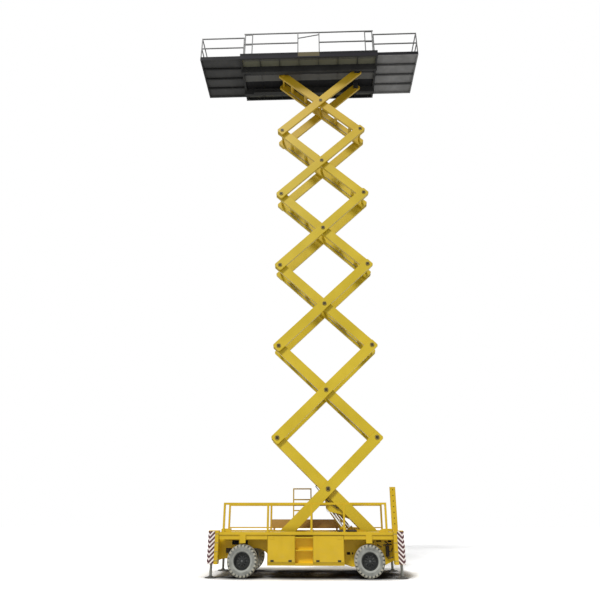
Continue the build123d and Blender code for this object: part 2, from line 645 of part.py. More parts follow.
def rim(x, side):
    """A deep-dish rim that fills the tyre's seat, with its hub, its bore and a ring of holes."""
    width = TYRE_WIDTH - 2 * RIM_INSET
    dish = -TYRE_WIDTH / 2 + RIM_DISH
    hub_low, hub_high = dish - RIM_HUB[0], dish + RIM_HUB[1]
    wheel = Cylinder(RIM_RADIUS, width) - Cylinder(RIM_RADIUS - RIM_WALL, TYRE_WIDTH)
    disc = Cylinder(RIM_RADIUS - RIM_WALL + BITE, RIM_WALL)
    hole = Pos(RIM_RADIUS - RIM_HOLE_IN, 0, 0) * Cylinder(RIM_HOLE, TYRE_WIDTH)
    for n in range(RIM_HOLES):
        disc -= Rot(0, 0, 360 / RIM_HOLES * n) * hole
    wheel += Pos(0, 0, dish) * disc
    wheel += Pos(0, 0, (hub_low + hub_high) / 2) * Cylinder(HUB_RADIUS, hub_high - hub_low)
    wheel -= Cylinder(SPINDLE_RADIUS + PIN_GAP, TYRE_WIDTH)
    wheel += Pos(0, 0, hub_low - HUB_CAP / 2) * Cylinder(HUB_SHOULDER, HUB_CAP)
    flip = Rot(90, 0, 0) if side > 0 else Rot(-90, 0, 0)
    return Pos(CHASSIS_X + x, side * WHEEL_Y, TYRE_RADIUS) * flip * wheel


def jack_column(x_side, side):
    """A tall square column with a tube inside that the leg slides in."""
    x = about(CHASSIS_X + x_side * (JACK_X - JACK_SHIFT), JACK_WIDTH[0] / 2)
    y = sorted((side * JACK_OUTER, side * (JACK_OUTER - JACK_WIDTH[1])))
    leg_x, leg_y = CHASSIS_X + x_side * JACK_X, side * JACK_Y
    column = tube_box(x, y, JACK_Z, JACK_WALL, "z")
    column += block(x, y, (JACK_Z[1] - JACK_WALL, JACK_Z[1]))
    column += block(x, y, (JACK_Z[0], JACK_Z[0] + JACK_WALL))
    top = JACK_Z[1] - 5 * JACK_WALL
    column += round_z(leg_x, leg_y, JACK_TUBE_RADIUS, (JACK_Z[0], top))
    return column - round_z(leg_x, leg_y, JACK_LEG_RADIUS + SEAT_GAP, (JACK_Z[0] - BITE, top - BITE))


def jack_leg(x_side, side):
    """A leg with its round foot."""
    x, y = CHASSIS_X + x_side * JACK_X, side * JACK_Y
    leg = round_z(x, y, JACK_LEG_RADIUS, (FOOT_PLATE, JACK_LEG_TOP))
    foot = round_z(x, y, FOOT_RADIUS, (0, FOOT_PLATE))
    return leg + foot + Pos(x, y, FOOT_PLATE + FOOT_CROWN[2] / 2 - BITE) * Cone(*FOOT_CROWN)


def chevron_plate(x_side, side):
    """A plain plate on the outer part of a jack column's side face."""
    outer = CHASSIS_X + x_side * (JACK_X - JACK_SHIFT + JACK_WIDTH[0] / 2)
    x = sorted((outer, outer - x_side * CHEVRON_WIDTH))
    y = sorted((side * JACK_OUTER, side * HALF_WIDTH))
    return block(x, y, (JACK_Z[0] + 5, JACK_Z[1] - 20))


def guide_post():
    """A tall upright with a row of holes, on the near right corner."""
    y = about(POST_Y, POST_DEPTH / 2)
    post = tube_box(from_middle(*about(POST_X, POST_WIDTH / 2)), y, (JACK_Z[1], POST_TOP), POST_WALL, "z")
    z = JACK_Z[1] + POST_FIRST_HOLE
    while z < POST_TOP - POST_PITCH / 2:
        post -= round_y(CHASSIS_X + POST_X, z, POST_HOLE, (y[0] - BITE, y[1] + BITE))
        z += POST_PITCH
    return post


def chassis():
    keep("main_frame", main_frame())
    keep("side_girders", *across(side_member()))
    keep("base_tracks", *across(roller_track(BASE_TRACK_X, BASE_PIN_Z)))
    keep("cross_beams", *[cross_beam(at) for at in CROSS_BEAMS])
    keep("arm_pivots", arm_pivots())
    keep("cylinder_mounts", *[cylinder_mount(c) for c in CYLINDERS.values()])
    keep("upper_deck", upper_deck())
    keep("guard_frames", guard_frames())
    keep("access_ladder", ladder())
    keep("side_board", side_board())
    near = {
        "cabinet": pod(), "left_door": door(LEFT_DOOR, True), "right_door": door(RIGHT_DOOR, False),
    }
    for name, shape in near.items():
        keep(f"near_{name}", shape)
        keep(f"far_{name}", mirror(shape, about=Plane.XZ))
    keep("engine_block", block(
        from_middle(STEP_X[1] + 40, HALF_POD - 60), (POD_INNER + 60, POD_OUTER - 80),
        (POD_Z[0] + POD_SILL[0] + POD_WALL, ENGINE_TOP),
    ))
    keep("left_axle", axle(-WHEELBASE / 2, False))
    keep("right_axle", axle(WHEELBASE / 2, True))
    corners = [(x_side, side) for x_side in (-1, 1) for side in (-1, 1)]
    keep("jack_columns", *[jack_column(*corner) for corner in corners])
    keep("warning_plates", *[chevron_plate(*corner) for corner in corners])
    keep("guide_post", guide_post())
    for side, word in ((-1, "near"), (1, "far")):
        keep(f"{word}_knuckle", knuckle(side))
        for x_side, end in ((-1, "left"), (1, "right")):
            keep(f"{word}_{end}_tyre", tyre(x_side * WHEELBASE / 2, side))
            keep(f"{word}_{end}_rim", rim(x_side * WHEELBASE / 2, side))
            keep(f"{word}_{end}_jack_leg", jack_leg(x_side, side))


# ================================================================ scissor stack


def box_beam(y):
    """A closed box beam along -X from its lower pin at the origin, solid only round its three pins."""
    beam = block((-ARM_LENGTH - ARM_END, ARM_END), y, about(0, ARM_DEPTH / 2))
    beam = chamfer(beam.edges().filter_by(Axis.Y), ARM_CHAMFER)
    for start in (0.0, ARM_LENGTH / 2):
        beam -= block(
            (-start - ARM_LENGTH / 2 + ARM_PAD, -start - ARM_PAD),
            (y[0] + ARM_WALL, y[1] - ARM_WALL),
            about(0, ARM_DEPTH / 2 - ARM_WALL),
        )
    return beam


def place_inner(level):
    """From an inner arm's own frame to its place: it rises towards -X from its lower right pin."""
    return Pos(FIXED_PIN_X, 0, BASE_PIN_Z + level * RISE) * Rot(0, REST_ANGLE, 0)


def place_outer(level):
    """From an outer arm's own frame to its place: it rises towards +X from its lower left pin."""
    return Pos(SLIDER_X, 0, BASE_PIN_Z + level * RISE) * Rot(0, 180 - REST_ANGLE, 0)


def roller(at):
    """The two rollers of a sliding end and the pin that carries them."""
    pin = round_y(at, 0, ROLLER_PIN_RADIUS, about(0, TRACK_Y + ROLLER_WIDTH))
    return [pin] + across(round_y(at, 0, ROLLER_RADIUS, (-TRACK_Y - ROLLER_WIDTH, -TRACK_Y - 2 * BITE)))


def inner_arm(level):
    """Two inner beams joined by cross tubes. The lowest has plates that hold the lift cylinders."""
    y = (-INNER_OUTSIDE, -INNER_FACE)
    beam = box_beam(y)
    for at, radius in ((0, PIN_RADIUS), (-ARM_LENGTH / 2, CENTRE_PIN_RADIUS), (-ARM_LENGTH, PIN_RADIUS)):
        beam -= round_y(at, 0, radius + PIN_GAP, (y[0] - BITE, y[1] + BITE))
    shapes = across(beam)
    for share in LOWEST_CROSS_TUBES if level == 0 else CROSS_TUBES:
        shapes.append(round_y(-share * ARM_LENGTH, 0, CROSS_TUBE_RADIUS, about(0, INNER_FACE + BITE)))
    if level == 0:
        shapes += gussets()
    if level == LEVELS - 1:
        shapes += roller(-ARM_LENGTH)
        shapes += across(round_y(
            -ARM_LENGTH, 0, BOSS_RADIUS, (-INNER_OUTSIDE - ROLLER_COLLAR, -INNER_FACE - BITE),
        ))
    return place_inner(level) * fuse(shapes)


def gussets():
    """Deep plates under inner arm 1 that reach down to the lift cylinders' upper eyes."""
    weld = -ARM_DEPTH / 2 + GUSSET_WELD
    lip = -ARM_DEPTH / 2 + GUSSET_LIP
    shapes = []
    for c in CYLINDERS.values():
        away = 1 if c["y"] > 0 else -1
        left, right = (-c["along"] + foot for foot in GUSSET_FEET)
        low_left, low_right = (-c["along"] + tip for tip in GUSSET_TIP)
        hang = -c["below"] - GUSSET_HANG
        outline = (
            (left, weld), (left, lip), (low_left, hang), (low_right, hang), (right, lip), (right, weld),
        )
        near, far = c["y"] + away * GUSSET_REACH, away * (INNER_FACE + BITE)
        shapes.append(plate_xz(outline, sorted((near, far))))
        near = c["y"] - away * GUSSET_REACH
        inner = near - away * EAR_THICKNESS
        shapes.append(plate_xz(outline, sorted((near, inner))))
        tie_left, tie_right, depth = GUSSET_TIE
        shapes.append(block((left + tie_left, right - tie_right), sorted((inner, far)), (weld - depth, weld)))
    return shapes


def outer_arm(level):
    """Two outer beams on through pins at both ends and the middle, with collars on the pins."""
    shapes = across(box_beam((-OUTER_OUTSIDE, -OUTER_INSIDE)))
    reach = OUTER_OUTSIDE + BOSS_WIDTH
    ends = [-ARM_LENGTH] * (level < LEVELS - 1) + [0] * (level > 0)
    for at, radius in [(-ARM_LENGTH / 2, CENTRE_PIN_RADIUS)] + [(at, PIN_RADIUS) for at in ends]:
        shapes.append(round_y(at, 0, radius, about(0, reach + PIN_END)))
        shapes += across(round_y(at, 0, BOSS_RADIUS, (-reach, -OUTER_OUTSIDE + BITE)))
    if level == 0:
        shapes += roller(0)
    arm = fuse(shapes)
    if level == LEVELS - 1:
        for bore in across(round_y(
            -ARM_LENGTH, 0, PIN_RADIUS + PIN_GAP, (-OUTER_OUTSIDE - BITE, -OUTER_INSIDE + BITE),
        )):
            arm -= bore
    return place_outer(level) * arm


def eye_points(c):
    """x and z of a lift cylinder's lower and upper eyes, at rest."""
    turn = radians(REST_ANGLE)
    return (CHASSIS_X + c["lower"][0], c["lower"][1]), (
        FIXED_PIN_X - c["along"] * cos(turn) - c["below"] * sin(turn),
        BASE_PIN_Z + c["along"] * sin(turn) - c["below"] * cos(turn),
    )


def lift_cylinder(name, c):
    """A barrel on its lower eye and the rod that slides in it."""
    (x0, z0), (x1, z1) = eye_points(c)
    way = Vector(x1 - x0, 0, z1 - z0)
    frame = Plane(origin=(x0, c["y"], z0), x_dir=(0, 1, 0), z_dir=way).location

    def along(radius, low, high):
        return frame * Pos(0, 0, (low + high) / 2) * Cylinder(radius, high - low)

    mouth = way.length - ROD_SHOWING
    eye_y = about(c["y"], EYE_WIDTH / 2)
    barrel = along(BARREL_RADIUS, EYE_RADIUS - PIN_END, mouth)
    barrel += along(BARREL_RADIUS + GLAND_STEP, mouth - GLAND_LENGTH, mouth)
    barrel += round_y(x0, z0, EYE_RADIUS, eye_y)
    barrel -= along(ROD_RADIUS + PIN_GAP, BARREL_BLIND, mouth + BITE)
    barrel -= round_y(x0, z0, PIN_RADIUS + PIN_GAP, about(c["y"], EYE_WIDTH))
    keep(f"{name}_lift_barrel", barrel)
    rod = along(ROD_RADIUS, mouth - ROD_HIDDEN, way.length)
    rod += round_y(x1, z1, EYE_RADIUS, eye_y)
    rod += round_y(x1, z1, PIN_RADIUS, about(c["y"], GUSSET_REACH - RUNNING))
    keep(f"{name}_lift_rod", rod)


def scissor_stack():
    for level in range(LEVELS):
        keep(f"inner_arm_{level + 1}", inner_arm(level))
        keep(f"outer_arm_{level + 1}", outer_arm(level))
    for name, c in CYLINDERS.items():
        lift_cylinder(name, c)


# ================================================================ platform


def platform_frame():
    """The main deck: edge beams, ribs, two long beams with the roller tracks, and the pivot ears."""
    half = MAIN_LENGTH / 2
    x = (-half, half)
    shapes = across(block(x, (-HALF_WIDTH, -HALF_WIDTH + FASCIA), above(MAIN_BOTTOM, MAIN_FASCIA_TOP)))
    flange, thickness = FASCIA_FLANGE
    shapes += across(block(x, (-HALF_WIDTH, -HALF_WIDTH + flange), above(MAIN_BOTTOM, MAIN_BOTTOM + thickness)))
    for side in (-1, 1):
        end = sorted((side * half, side * (half - END_TIE)))
        shapes.append(tube_box(end, about(0, HALF_WIDTH), above(MAIN_BOTTOM, MAIN_FLOOR), PLATE, "y"))
    beam = (-SIDE_MEMBER_INNER - MAIN_BEAM, -SIDE_MEMBER_INNER)
    shapes += across(tube_box(x, beam, above(MAIN_BEAM_BOTTOM, MAIN_FLOOR), MAIN_BEAM_WALL))
    for n in range(1, MAIN_BAYS):
        rib = about(-half + n * MAIN_LENGTH / MAIN_BAYS, RIB_HALF)
        shapes += across(block(
            rib, (-HALF_WIDTH, -SIDE_MEMBER_INNER - BITE), above(MAIN_BOTTOM + RIB_SHORTFALL, MAIN_FLOOR),
        ))
        shapes.append(block(rib, about(0, SIDE_MEMBER_INNER), above(WELL_BOTTOM, MAIN_FLOOR)))
    shapes.append(block(x, about(0, HALF_WIDTH), above(MAIN_FLOOR - PLATE, MAIN_FLOOR)))
    shapes += across(roller_track(TOP_TRACK_X, TOP_PIN_Z))
    ear_x = about(FIXED_PIN_X, EAR_HALF)
    for low in (OUTER_INSIDE - RUNNING - BRACKET_PLATE, OUTER_OUTSIDE + RUNNING):
        shapes += across(block(ear_x, (-low - BRACKET_PLATE, -low), above(EAR_BOTTOM, WELL_BOTTOM + RUNNING)))
    pin_y = (-OUTER_OUTSIDE - BRACKET_PLATE - 2 * PIN_END, -OUTER_INSIDE + BRACKET_PLATE + 2 * PIN_END)
    shapes += across(round_y(FIXED_PIN_X, TOP_PIN_Z, PIN_RADIUS, pin_y))
    shapes.append(block(ear_x, about(0, SIDE_MEMBER_INNER), above(WELL_BOTTOM, MAIN_FLOOR)))
    return fuse(shapes)


def main_rails():
    """Guard rails along both sides of the main deck, clamped posts, and the gate's opening."""
    half = MAIN_LENGTH / 2 - RAIL_END
    t = RAIL_TUBE
    height, width = CLAMP
    clamped = [sorted(side * (MAIN_LENGTH / 2 - post) for post in CLAMPED_POSTS) for side in (-1, 1)]
    middle = (MAIN_FASCIA_TOP + RAIL_TOP) / 2
    shapes = []
    for side in (-1, 1):
        y = sorted((side * HALF_WIDTH, side * (HALF_WIDTH - t)))
        clamp_y = sorted((side * HALF_WIDTH, side * (HALF_WIDTH - width)))
        stretches = [(-half, -GATE_HALF), (GATE_HALF, half)] if side < 0 else [(-half, half)]
        for stretch in stretches:
            shapes.append(block(stretch, y, above(middle - t, middle)))
        shapes.append(block((-half, half), y, above(RAIL_TOP - t, RAIL_TOP)))
        for x in (*clamped[0], -GATE_HALF, GATE_HALF, *clamped[1]):
            shapes.append(block(about(x, t / 2), y, above(MAIN_FASCIA_TOP, RAIL_TOP - BITE)))
        for low, high in clamped:
            for top in (middle, RAIL_TOP):
                shapes.append(block((low - t / 2, high + t / 2), clamp_y, above(top - height, top)))
    return fuse(shapes)


def extension(name, side):
    """A narrower deck that slides out over the main floor, and its three-sided guard rail."""
    inner = MAIN_LENGTH / 2 - EXTENSION_OVERLAP
    outer = PLATFORM_LENGTH / 2
    x = sorted((side * inner, side * outer))
    edge = HALF_WIDTH - EXTENSION_INSET
    height = above(EXTENSION_BOTTOM, EXTENSION_FLOOR)
    frame = across(block(x, (-edge, -edge + EXTENSION_FASCIA), above(EXTENSION_BOTTOM, EXTENSION_FASCIA_TOP)))
    frame += across(tube_box(x, (-edge, -edge + EXTENSION_EDGE), height, PLATE))
    end = sorted((side * outer, side * (outer - EXTENSION_FASCIA)))
    frame.append(block(end, about(0, edge), above(EXTENSION_BOTTOM, EXTENSION_FASCIA_TOP)))
    for at in (inner, outer - EXTENSION_TIE):
        tie = sorted((side * at, side * (at + EXTENSION_TIE)))
        frame.append(tube_box(tie, about(0, edge), height, PLATE, "y"))
    for share in (-0.5, 0.0, 0.5):
        frame.append(tube_box(x, about(share * edge, EXTENSION_EDGE / 2), height, PLATE))
    frame.append(block(x, about(0, edge), above(EXTENSION_FLOOR - PLATE, EXTENSION_FLOOR)))
    pad_x = sorted((side * inner, side * (inner + EXTENSION_TIE)))
    pad = EXTENSION_TIE / 2
    for y in (-edge + 1.4 * pad, 0.0, edge - 1.4 * pad):
        frame.append(block(pad_x, about(y, pad), above(MAIN_FLOOR + SEAT_GAP, EXTENSION_BOTTOM + BITE)))
    keep(f"{name}_extension_deck", *frame)
    t = RAIL_TUBE
    top = RAIL_TOP - EXTENSION_DROP
    middle = (EXTENSION_FASCIA_TOP + top - t) / 2
    rails = []
    for z in (middle, top):
        rails += across(block(x, (-edge, -edge + t), above(z - t, z)))
        rails.append(block(sorted((side * outer, side * (outer - t))), about(0, edge), above(z - t, z)))
    for at in (inner, outer - t):
        post = sorted((side * at, side * (at + t)))
        rails += across(block(post, (-edge, -edge + t), above(EXTENSION_FASCIA_TOP, top)))
    keep(f"{name}_extension_rails", *rails)


def gate():
    """A drop bar inside the gate's opening, that swings up on a pin at its right post."""
    start = -HALF_WIDTH + RAIL_TUBE + 2 * BITE
    low, high = above(RAIL_TOP - GATE_DROP[0], RAIL_TOP - GATE_DROP[1])
    half = GATE_BAR / 2
    outline = (
        (-GATE_HALF, low - half), (GATE_HALF + half, high - half), (GATE_HALF + half, high + half),
        (-GATE_HALF, low + half),
    )
    bar = plate_xz(outline, (start, start + GATE_BAR))
    keep("gate_bar", bar, round_y(
        GATE_HALF, high, GATE_PIN_RADIUS, (start - 2 * BITE + SEAT_GAP, start + BITE),
    ))


def platform():
    keep("platform_frame", platform_frame())
    keep("main_rails", main_rails())
    extension("left", -1)
    extension("right", 1)
    gate()


chassis()
scissor_stack()
platform()
for name, shape in NODES.items():
    export_step(shape, f"parts/{name}.step")
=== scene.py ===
"""Dresses the packed scissor lift: paint, tyres, bolts, pipes, plates, floor patterns and its stage."""

import json
import math
from functools import reduce

import bmesh
import bpy
import mathutils
import numpy as np
from bpy.props import FloatProperty, FloatVectorProperty, IntProperty, PointerProperty
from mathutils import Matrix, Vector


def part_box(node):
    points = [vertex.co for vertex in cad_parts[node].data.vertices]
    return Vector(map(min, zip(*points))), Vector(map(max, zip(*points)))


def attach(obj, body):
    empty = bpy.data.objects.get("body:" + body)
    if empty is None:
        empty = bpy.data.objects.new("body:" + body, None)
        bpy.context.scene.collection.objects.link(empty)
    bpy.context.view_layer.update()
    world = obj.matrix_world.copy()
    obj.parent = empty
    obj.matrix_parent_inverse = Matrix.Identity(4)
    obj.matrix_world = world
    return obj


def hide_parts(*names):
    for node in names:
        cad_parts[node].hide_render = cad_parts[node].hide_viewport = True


bl_info = {
    "name": "Scissor Lift Dressing",
    "version": (1, 0, 0),
    "blender": (4, 5, 0),
    "location": "View3D > Sidebar > Scissor Lift",
    "description": "Paints and dresses the packed scissor lift and sets its stage",
    "category": "Object",
}

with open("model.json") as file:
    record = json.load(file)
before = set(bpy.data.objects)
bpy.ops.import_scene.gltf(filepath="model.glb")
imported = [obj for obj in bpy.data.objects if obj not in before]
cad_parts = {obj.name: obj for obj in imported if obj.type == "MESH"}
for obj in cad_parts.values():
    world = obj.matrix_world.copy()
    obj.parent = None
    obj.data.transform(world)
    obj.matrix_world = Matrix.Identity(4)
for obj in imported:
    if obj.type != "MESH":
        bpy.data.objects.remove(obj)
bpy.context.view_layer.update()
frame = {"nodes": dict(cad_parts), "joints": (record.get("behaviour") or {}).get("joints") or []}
NODES = frame["nodes"]
JOINTS = {joint["name"]: joint for joint in frame["joints"]}


def joint_at(name):
    """Where a joint's axis is, in metres."""
    return np.array(JOINTS[name]["pos_m"], float)


# Places and sizes that follow the packed model, in metres.
LOWER_PIN = joint_at("lift")
CENTRE_PIN = joint_at("centre_pin_1")
LEFT_PIN_X = float(2 * CENTRE_PIN[0] - LOWER_PIN[0])
RISE = float(joint_at("right_pin_1")[2] - LOWER_PIN[2])
TOP_PIN_Z = float(joint_at("platform_pin")[2])
ARM_LENGTH = 2 * float(np.linalg.norm(CENTRE_PIN - LOWER_PIN))
WHEELS = {
    f"{side}_{end}": joint_at(f"{side}_{end}_spin") for side in ("near", "far") for end in ("left", "right")
}
LEFT_AXLE_X, RIGHT_AXLE_X = float(WHEELS["near_left"][0]), float(WHEELS["near_right"][0])
CHASSIS_X = (LEFT_AXLE_X + RIGHT_AXLE_X) / 2
WHEELBASE = RIGHT_AXLE_X - LEFT_AXLE_X
AXLE_Z = float(WHEELS["near_left"][2])
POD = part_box("near_cabinet")
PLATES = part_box("warning_plates")
MAIN_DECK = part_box("platform_frame")
DECK_TOP = float(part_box("access_ladder")[0][2])
ROD_FOOT = {name: joint_at(f"{name}_barrel_pin") for name in ("near", "far")}

# Sizes of the packed model that no joint or box gives, in metres.
LEVELS = 6
ARM_DEPTH = 0.340
INNER_Y = (0.290, 0.390)
OUTER_FACE = 0.500
COLLAR_FACE = 0.514
PIN_END = 0.524
PIN_RADIUS = 0.045
PIN_HEAD_RADIUS = 0.0495
COLLAR_RADIUS = 0.09
COLLAR_CIRCLE = 0.0655
DISC_FACE = 0.045  # outwards from a wheel's middle: its disc's, its hub's and its cap's outer face
HUB_FACE = 0.090
CAP_FACE = 0.120
NUT_CIRCLE = 0.1265
HUB_CIRCLE = 0.086
VALVE_CIRCLE = 0.205
JACK_FACE = 1.244
EAR_FACE = 0.083  # outwards from a lift cylinder's lower pin
GATE_X = 0.47
SLEEVED = (-2.820, -2.500, 2.500, 2.820)
SLEEVE_HALF = 0.022
GUARD_Y = 1.2
JACK_BOLTS_IN = (0.235, 0.285)  # inwards from the machine's end
JACK_BOLTS_Z = np.linspace(0.46, 1.18, 4)
GUARD_POSTS = {-1.0: (-2.460, -1.135, 0.175, 1.155, 2.410), 1.0: (-1.235, 0.160, 1.155, 2.540)}
GIRDER_OPENINGS = (  # low x, high x, low z and high z, from the chassis's middle and the ground
    (-2.710, -2.672, 0.604, 0.766), (-2.262, -2.057, 0.862, 0.988), (-1.932, -1.781, 0.862, 0.988),
    (1.230, 1.335, 0.592, 0.668), (1.385, 1.425, 0.600, 0.660), (1.955, 2.060, 0.926, 0.958),
    (2.134, 2.285, 0.950, 0.984), (2.480, 2.590, 0.940, 0.988),
)

BOTH = (-1.0, 1.0)  # the near and the far side, or the left and the right
ALONG_X, ALONG_Y, UP = np.eye(3)
OUTWARDS = (-ALONG_Y, ALONG_Y)


# ---------------------------------------------------------------- shapes

def unit(vectors):
    """Vectors divided by their lengths."""
    return vectors / np.linalg.norm(vectors, axis=-1, keepdims=True)


def ring(count, phase=0.0):
    """Unit circle points: (cos a, sin a) for a evenly round the turn."""
    angle = np.arange(count) * 2 * np.pi / count + phase
    return np.stack((np.cos(angle), np.sin(angle)), axis=-1)


def rounded(width, height, radius, steps=3):
    """A rounded rectangle: each corner's centre plus radius * (cos a, sin a), a quarter turn a corner."""
    quarter = np.linspace(0, np.pi / 2, steps + 1)
    angle = (quarter[None, :] + np.arange(4)[:, None] * np.pi / 2).ravel()
    arc = np.stack((np.cos(angle), np.sin(angle)), axis=-1) * radius
    signs = np.repeat(np.array(((1, 1), (-1, 1), (-1, -1), (1, -1)), float), steps + 1, axis=0)
    return arc + signs * np.array((width / 2 - radius, height / 2 - radius))


def carried(profile, path, tangent, up, sizes=1.0):
    """A profile carried along a path: P(i, j) = path_i + a_j * size_i * side_i + b_j * size_i * rise_i."""
    side = unit(np.cross(tangent, up))
    rise = np.cross(side, tangent)
    flat = profile[None] * sizes
    return path[:, None, :] + flat[..., :1] * side[:, None, :] + flat[..., 1:] * rise[:, None, :]


def bar(start, end, width, height, up, edge=0.004, corner=None):
    """A straight bar with rounded edges: a rounded rectangle inset by edge * (1 - sin f) at each end."""
    start, end = np.asarray(start, float), np.asarray(end, float)
    way = unit(end - start)
    turn = np.linspace(0, np.pi / 2, 3)
    inset = edge * (1 - np.sin(turn))
    inset = np.concatenate((inset, inset[::-1]))
    into = (edge * (1 - np.cos(turn)))[:, None] * way
    path = np.concatenate((start[None], start + into, (end - into)[::-1], end[None]))
    sizes = np.pad(np.stack((1 - 2 * inset / width, 1 - 2 * inset / height), axis=-1), ((1, 1), (0, 0)))
    profile = rounded(width, height, min(width, height) * 0.2 if corner is None else corner)
    return carried(profile, path, np.broadcast_to(way, path.shape), up, sizes[:, None])


def pipe(points, radius, bend, sides=12):
    """A round tube along a curved path: P = path_i + radius * (cos a side_i + sin a rise_i).

    Up is the axis that the path's steps stay furthest from running along.
    """
    path = curved(np.asarray(points, float), bend)
    axes = np.eye(3)
    up = axes[np.argmin(np.abs(unit(np.diff(path, axis=0)) @ axes).max(axis=0))]
    tube = carried(ring(sides) * radius, path, unit(np.gradient(path, axis=0)), up)
    start, end = (np.broadcast_to(path[n], (1, sides, 3)) for n in (0, -1))
    return np.concatenate((start, tube, end))


def curved(points, bend):
    """A path with its corners cut from a to b, each bend away: p = (1-t)^2 a + 2 t (1-t) corner + t^2 b."""
    pieces = [points[:1]]
    t = np.linspace(0, 1, 7)[:, None]
    for before, corner, after in zip(points[:-2], points[1:-1], points[2:]):
        ways = before - corner, after - corner
        reach = min(bend, *(np.linalg.norm(way) * 0.45 for way in ways))
        a, b = (corner + unit(way) * reach for way in ways)
        pieces.append((1 - t) ** 2 * a + 2 * t * (1 - t) * corner + t ** 2 * b)
    pieces.append(points[-1:])
    return np.concatenate(pieces)


def turned(profile, origin, axis, sides=24, phase=0.0):
    """A profile of (radius, height) turned: P = origin + h_i axis + r_i (cos a u + sin a v)."""
    profile = np.asarray(profile, float)
    u = unit(np.cross(axis, UP if abs(axis[2]) < 0.9 else ALONG_Y))
    circle = ring(sides, phase)
    around = circle[:, :1] * u + circle[:, 1:] * np.cross(axis, u)
    return np.asarray(origin) + profile[:, 1, None, None] * axis + profile[:, 0, None, None] * around[None]


def bolt(origin, axis, across_flats, turn=0.0):
    """A hexagon head on a round washer: two turned profiles, of six and of sixteen sides."""
    head, high = across_flats / math.sqrt(3), across_flats * 0.6
    washer = ((0, 0), (head * 1.35, 0), (head * 1.35, high * 0.2), (0, high * 0.2))
    hexagon = (
        (0, high * 0.15), (head, high * 0.15), (head, high * 0.9), (head * 0.86, high * 1.05),
        (0, high * 1.05),
    )
    return [turned(washer, origin, axis, 16), turned(hexagon, origin, axis, 6, turn)]


def spoke(angle):
    """The direction (cos a, 0, sin a) from an axis along y."""
    return np.array((math.cos(angle), 0.0, math.sin(angle)))


def bolt_circle(middle, axis, radius, angles, across_flats):
    """Bolts round an axis along y: one at middle + radius * (cos a, 0, sin a) for each angle."""
    return [grid for a in angles for grid in bolt(middle + spoke(a) * radius, axis, across_flats, a)]


def mesh_from(name, grids, body, finish, smooth=30.0, marks=None):
    """One piece from grids P[i, j], closed round j: quads join neighbours and doubles merge."""
    points, faces, start = [], [], 0
    for grid in grids:
        rows, columns = grid.shape[:2]
        index = start + np.arange(rows * columns).reshape(rows, columns)
        after = np.roll(index, -1, axis=1)
        points.append(grid.reshape(-1, 3))
        faces.append(np.stack((index[:-1], after[:-1], after[1:], index[1:]), axis=-1).reshape(-1, 4))
        start += rows * columns
    points, faces = np.concatenate(points), np.concatenate(faces)
    if not np.isfinite(points).all():
        raise ValueError(f"{name} has a point that is nowhere")
    mesh = bpy.data.meshes.new(name)
    mesh.vertices.add(len(points))
    mesh.vertices.foreach_set("co", points.ravel())
    mesh.loops.add(faces.size)
    mesh.loops.foreach_set("vertex_index", faces.ravel())
    mesh.polygons.add(len(faces))
    mesh.polygons.foreach_set("loop_start", np.arange(0, faces.size, 4))
    if marks is not None:
        mesh.attributes.new("mark", "FLOAT", "POINT").data.foreach_set("value", marks.ravel())
    mesh.update(calc_edges=True)
    work = bmesh.new()
    work.from_mesh(mesh)
    bmesh.ops.remove_doubles(work, verts=work.verts, dist=1e-6)
    bmesh.ops.dissolve_degenerate(work, edges=work.edges, dist=1e-7)
    bmesh.ops.recalc_face_normals(work, faces=work.faces)
    work.to_mesh(mesh)
    work.free()
    mesh.shade_smooth()
    mesh.set_sharp_from_angle(angle=math.radians(smooth))
    piece = bpy.data.objects.new(name, mesh)
    bpy.context.scene.collection.objects.link(piece)
    mesh.materials.append(finish)
    if body:
        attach(piece, body)
    return piece


# ---------------------------------------------------------------- shader expressions

def math_method(operation, swapped=False):
    """A method that adds one Math node, with its sides swapped for a reflected operator."""
    def apply(self, *other):
        sides = (*other, self) if swapped else (self, *other)
        return self.nodes.add("ShaderNodeMath", {"operation": operation}, dict(enumerate(sides)))
    return apply


class Number:
    """A shader number. Arithmetic on it adds Math nodes."""

    def __init__(self, nodes, socket):
        self.nodes = nodes
        self.socket = socket

    __add__ = __radd__ = math_method("ADD")
    __mul__ = __rmul__ = math_method("MULTIPLY")
    __sub__ = math_method("SUBTRACT")
    __rsub__ = math_method("SUBTRACT", True)
    __truediv__ = math_method("DIVIDE")
    __mod__ = math_method("FLOORED_MODULO")
    __gt__ = math_method("GREATER_THAN")
    __lt__ = math_method("LESS_THAN")
    __abs__ = math_method("ABSOLUTE")
    lower = math_method("MINIMUM")
    higher = math_method("MAXIMUM")
    root = math_method("SQRT")
    wave = math_method("SINE")

    def hypotenuse(self, other):
        """The root of the sum of two squares."""
        return (self * self + other * other).root()

    def between(self, low, high):
        """0 below low, 1 above high, and smooth between."""
        return self.nodes.add(
            "ShaderNodeMapRange", {"interpolation_type": "SMOOTHSTEP"},
            {"Value": self, "From Min": low, "From Max": high},
        )

    def inside(self, low, high):
        """1 between two values and 0 outside."""
        return (self > low) * (self < high)


def tint(colour, by):
    """A colour with its three parts multiplied."""
    return tuple(part * by for part in colour)


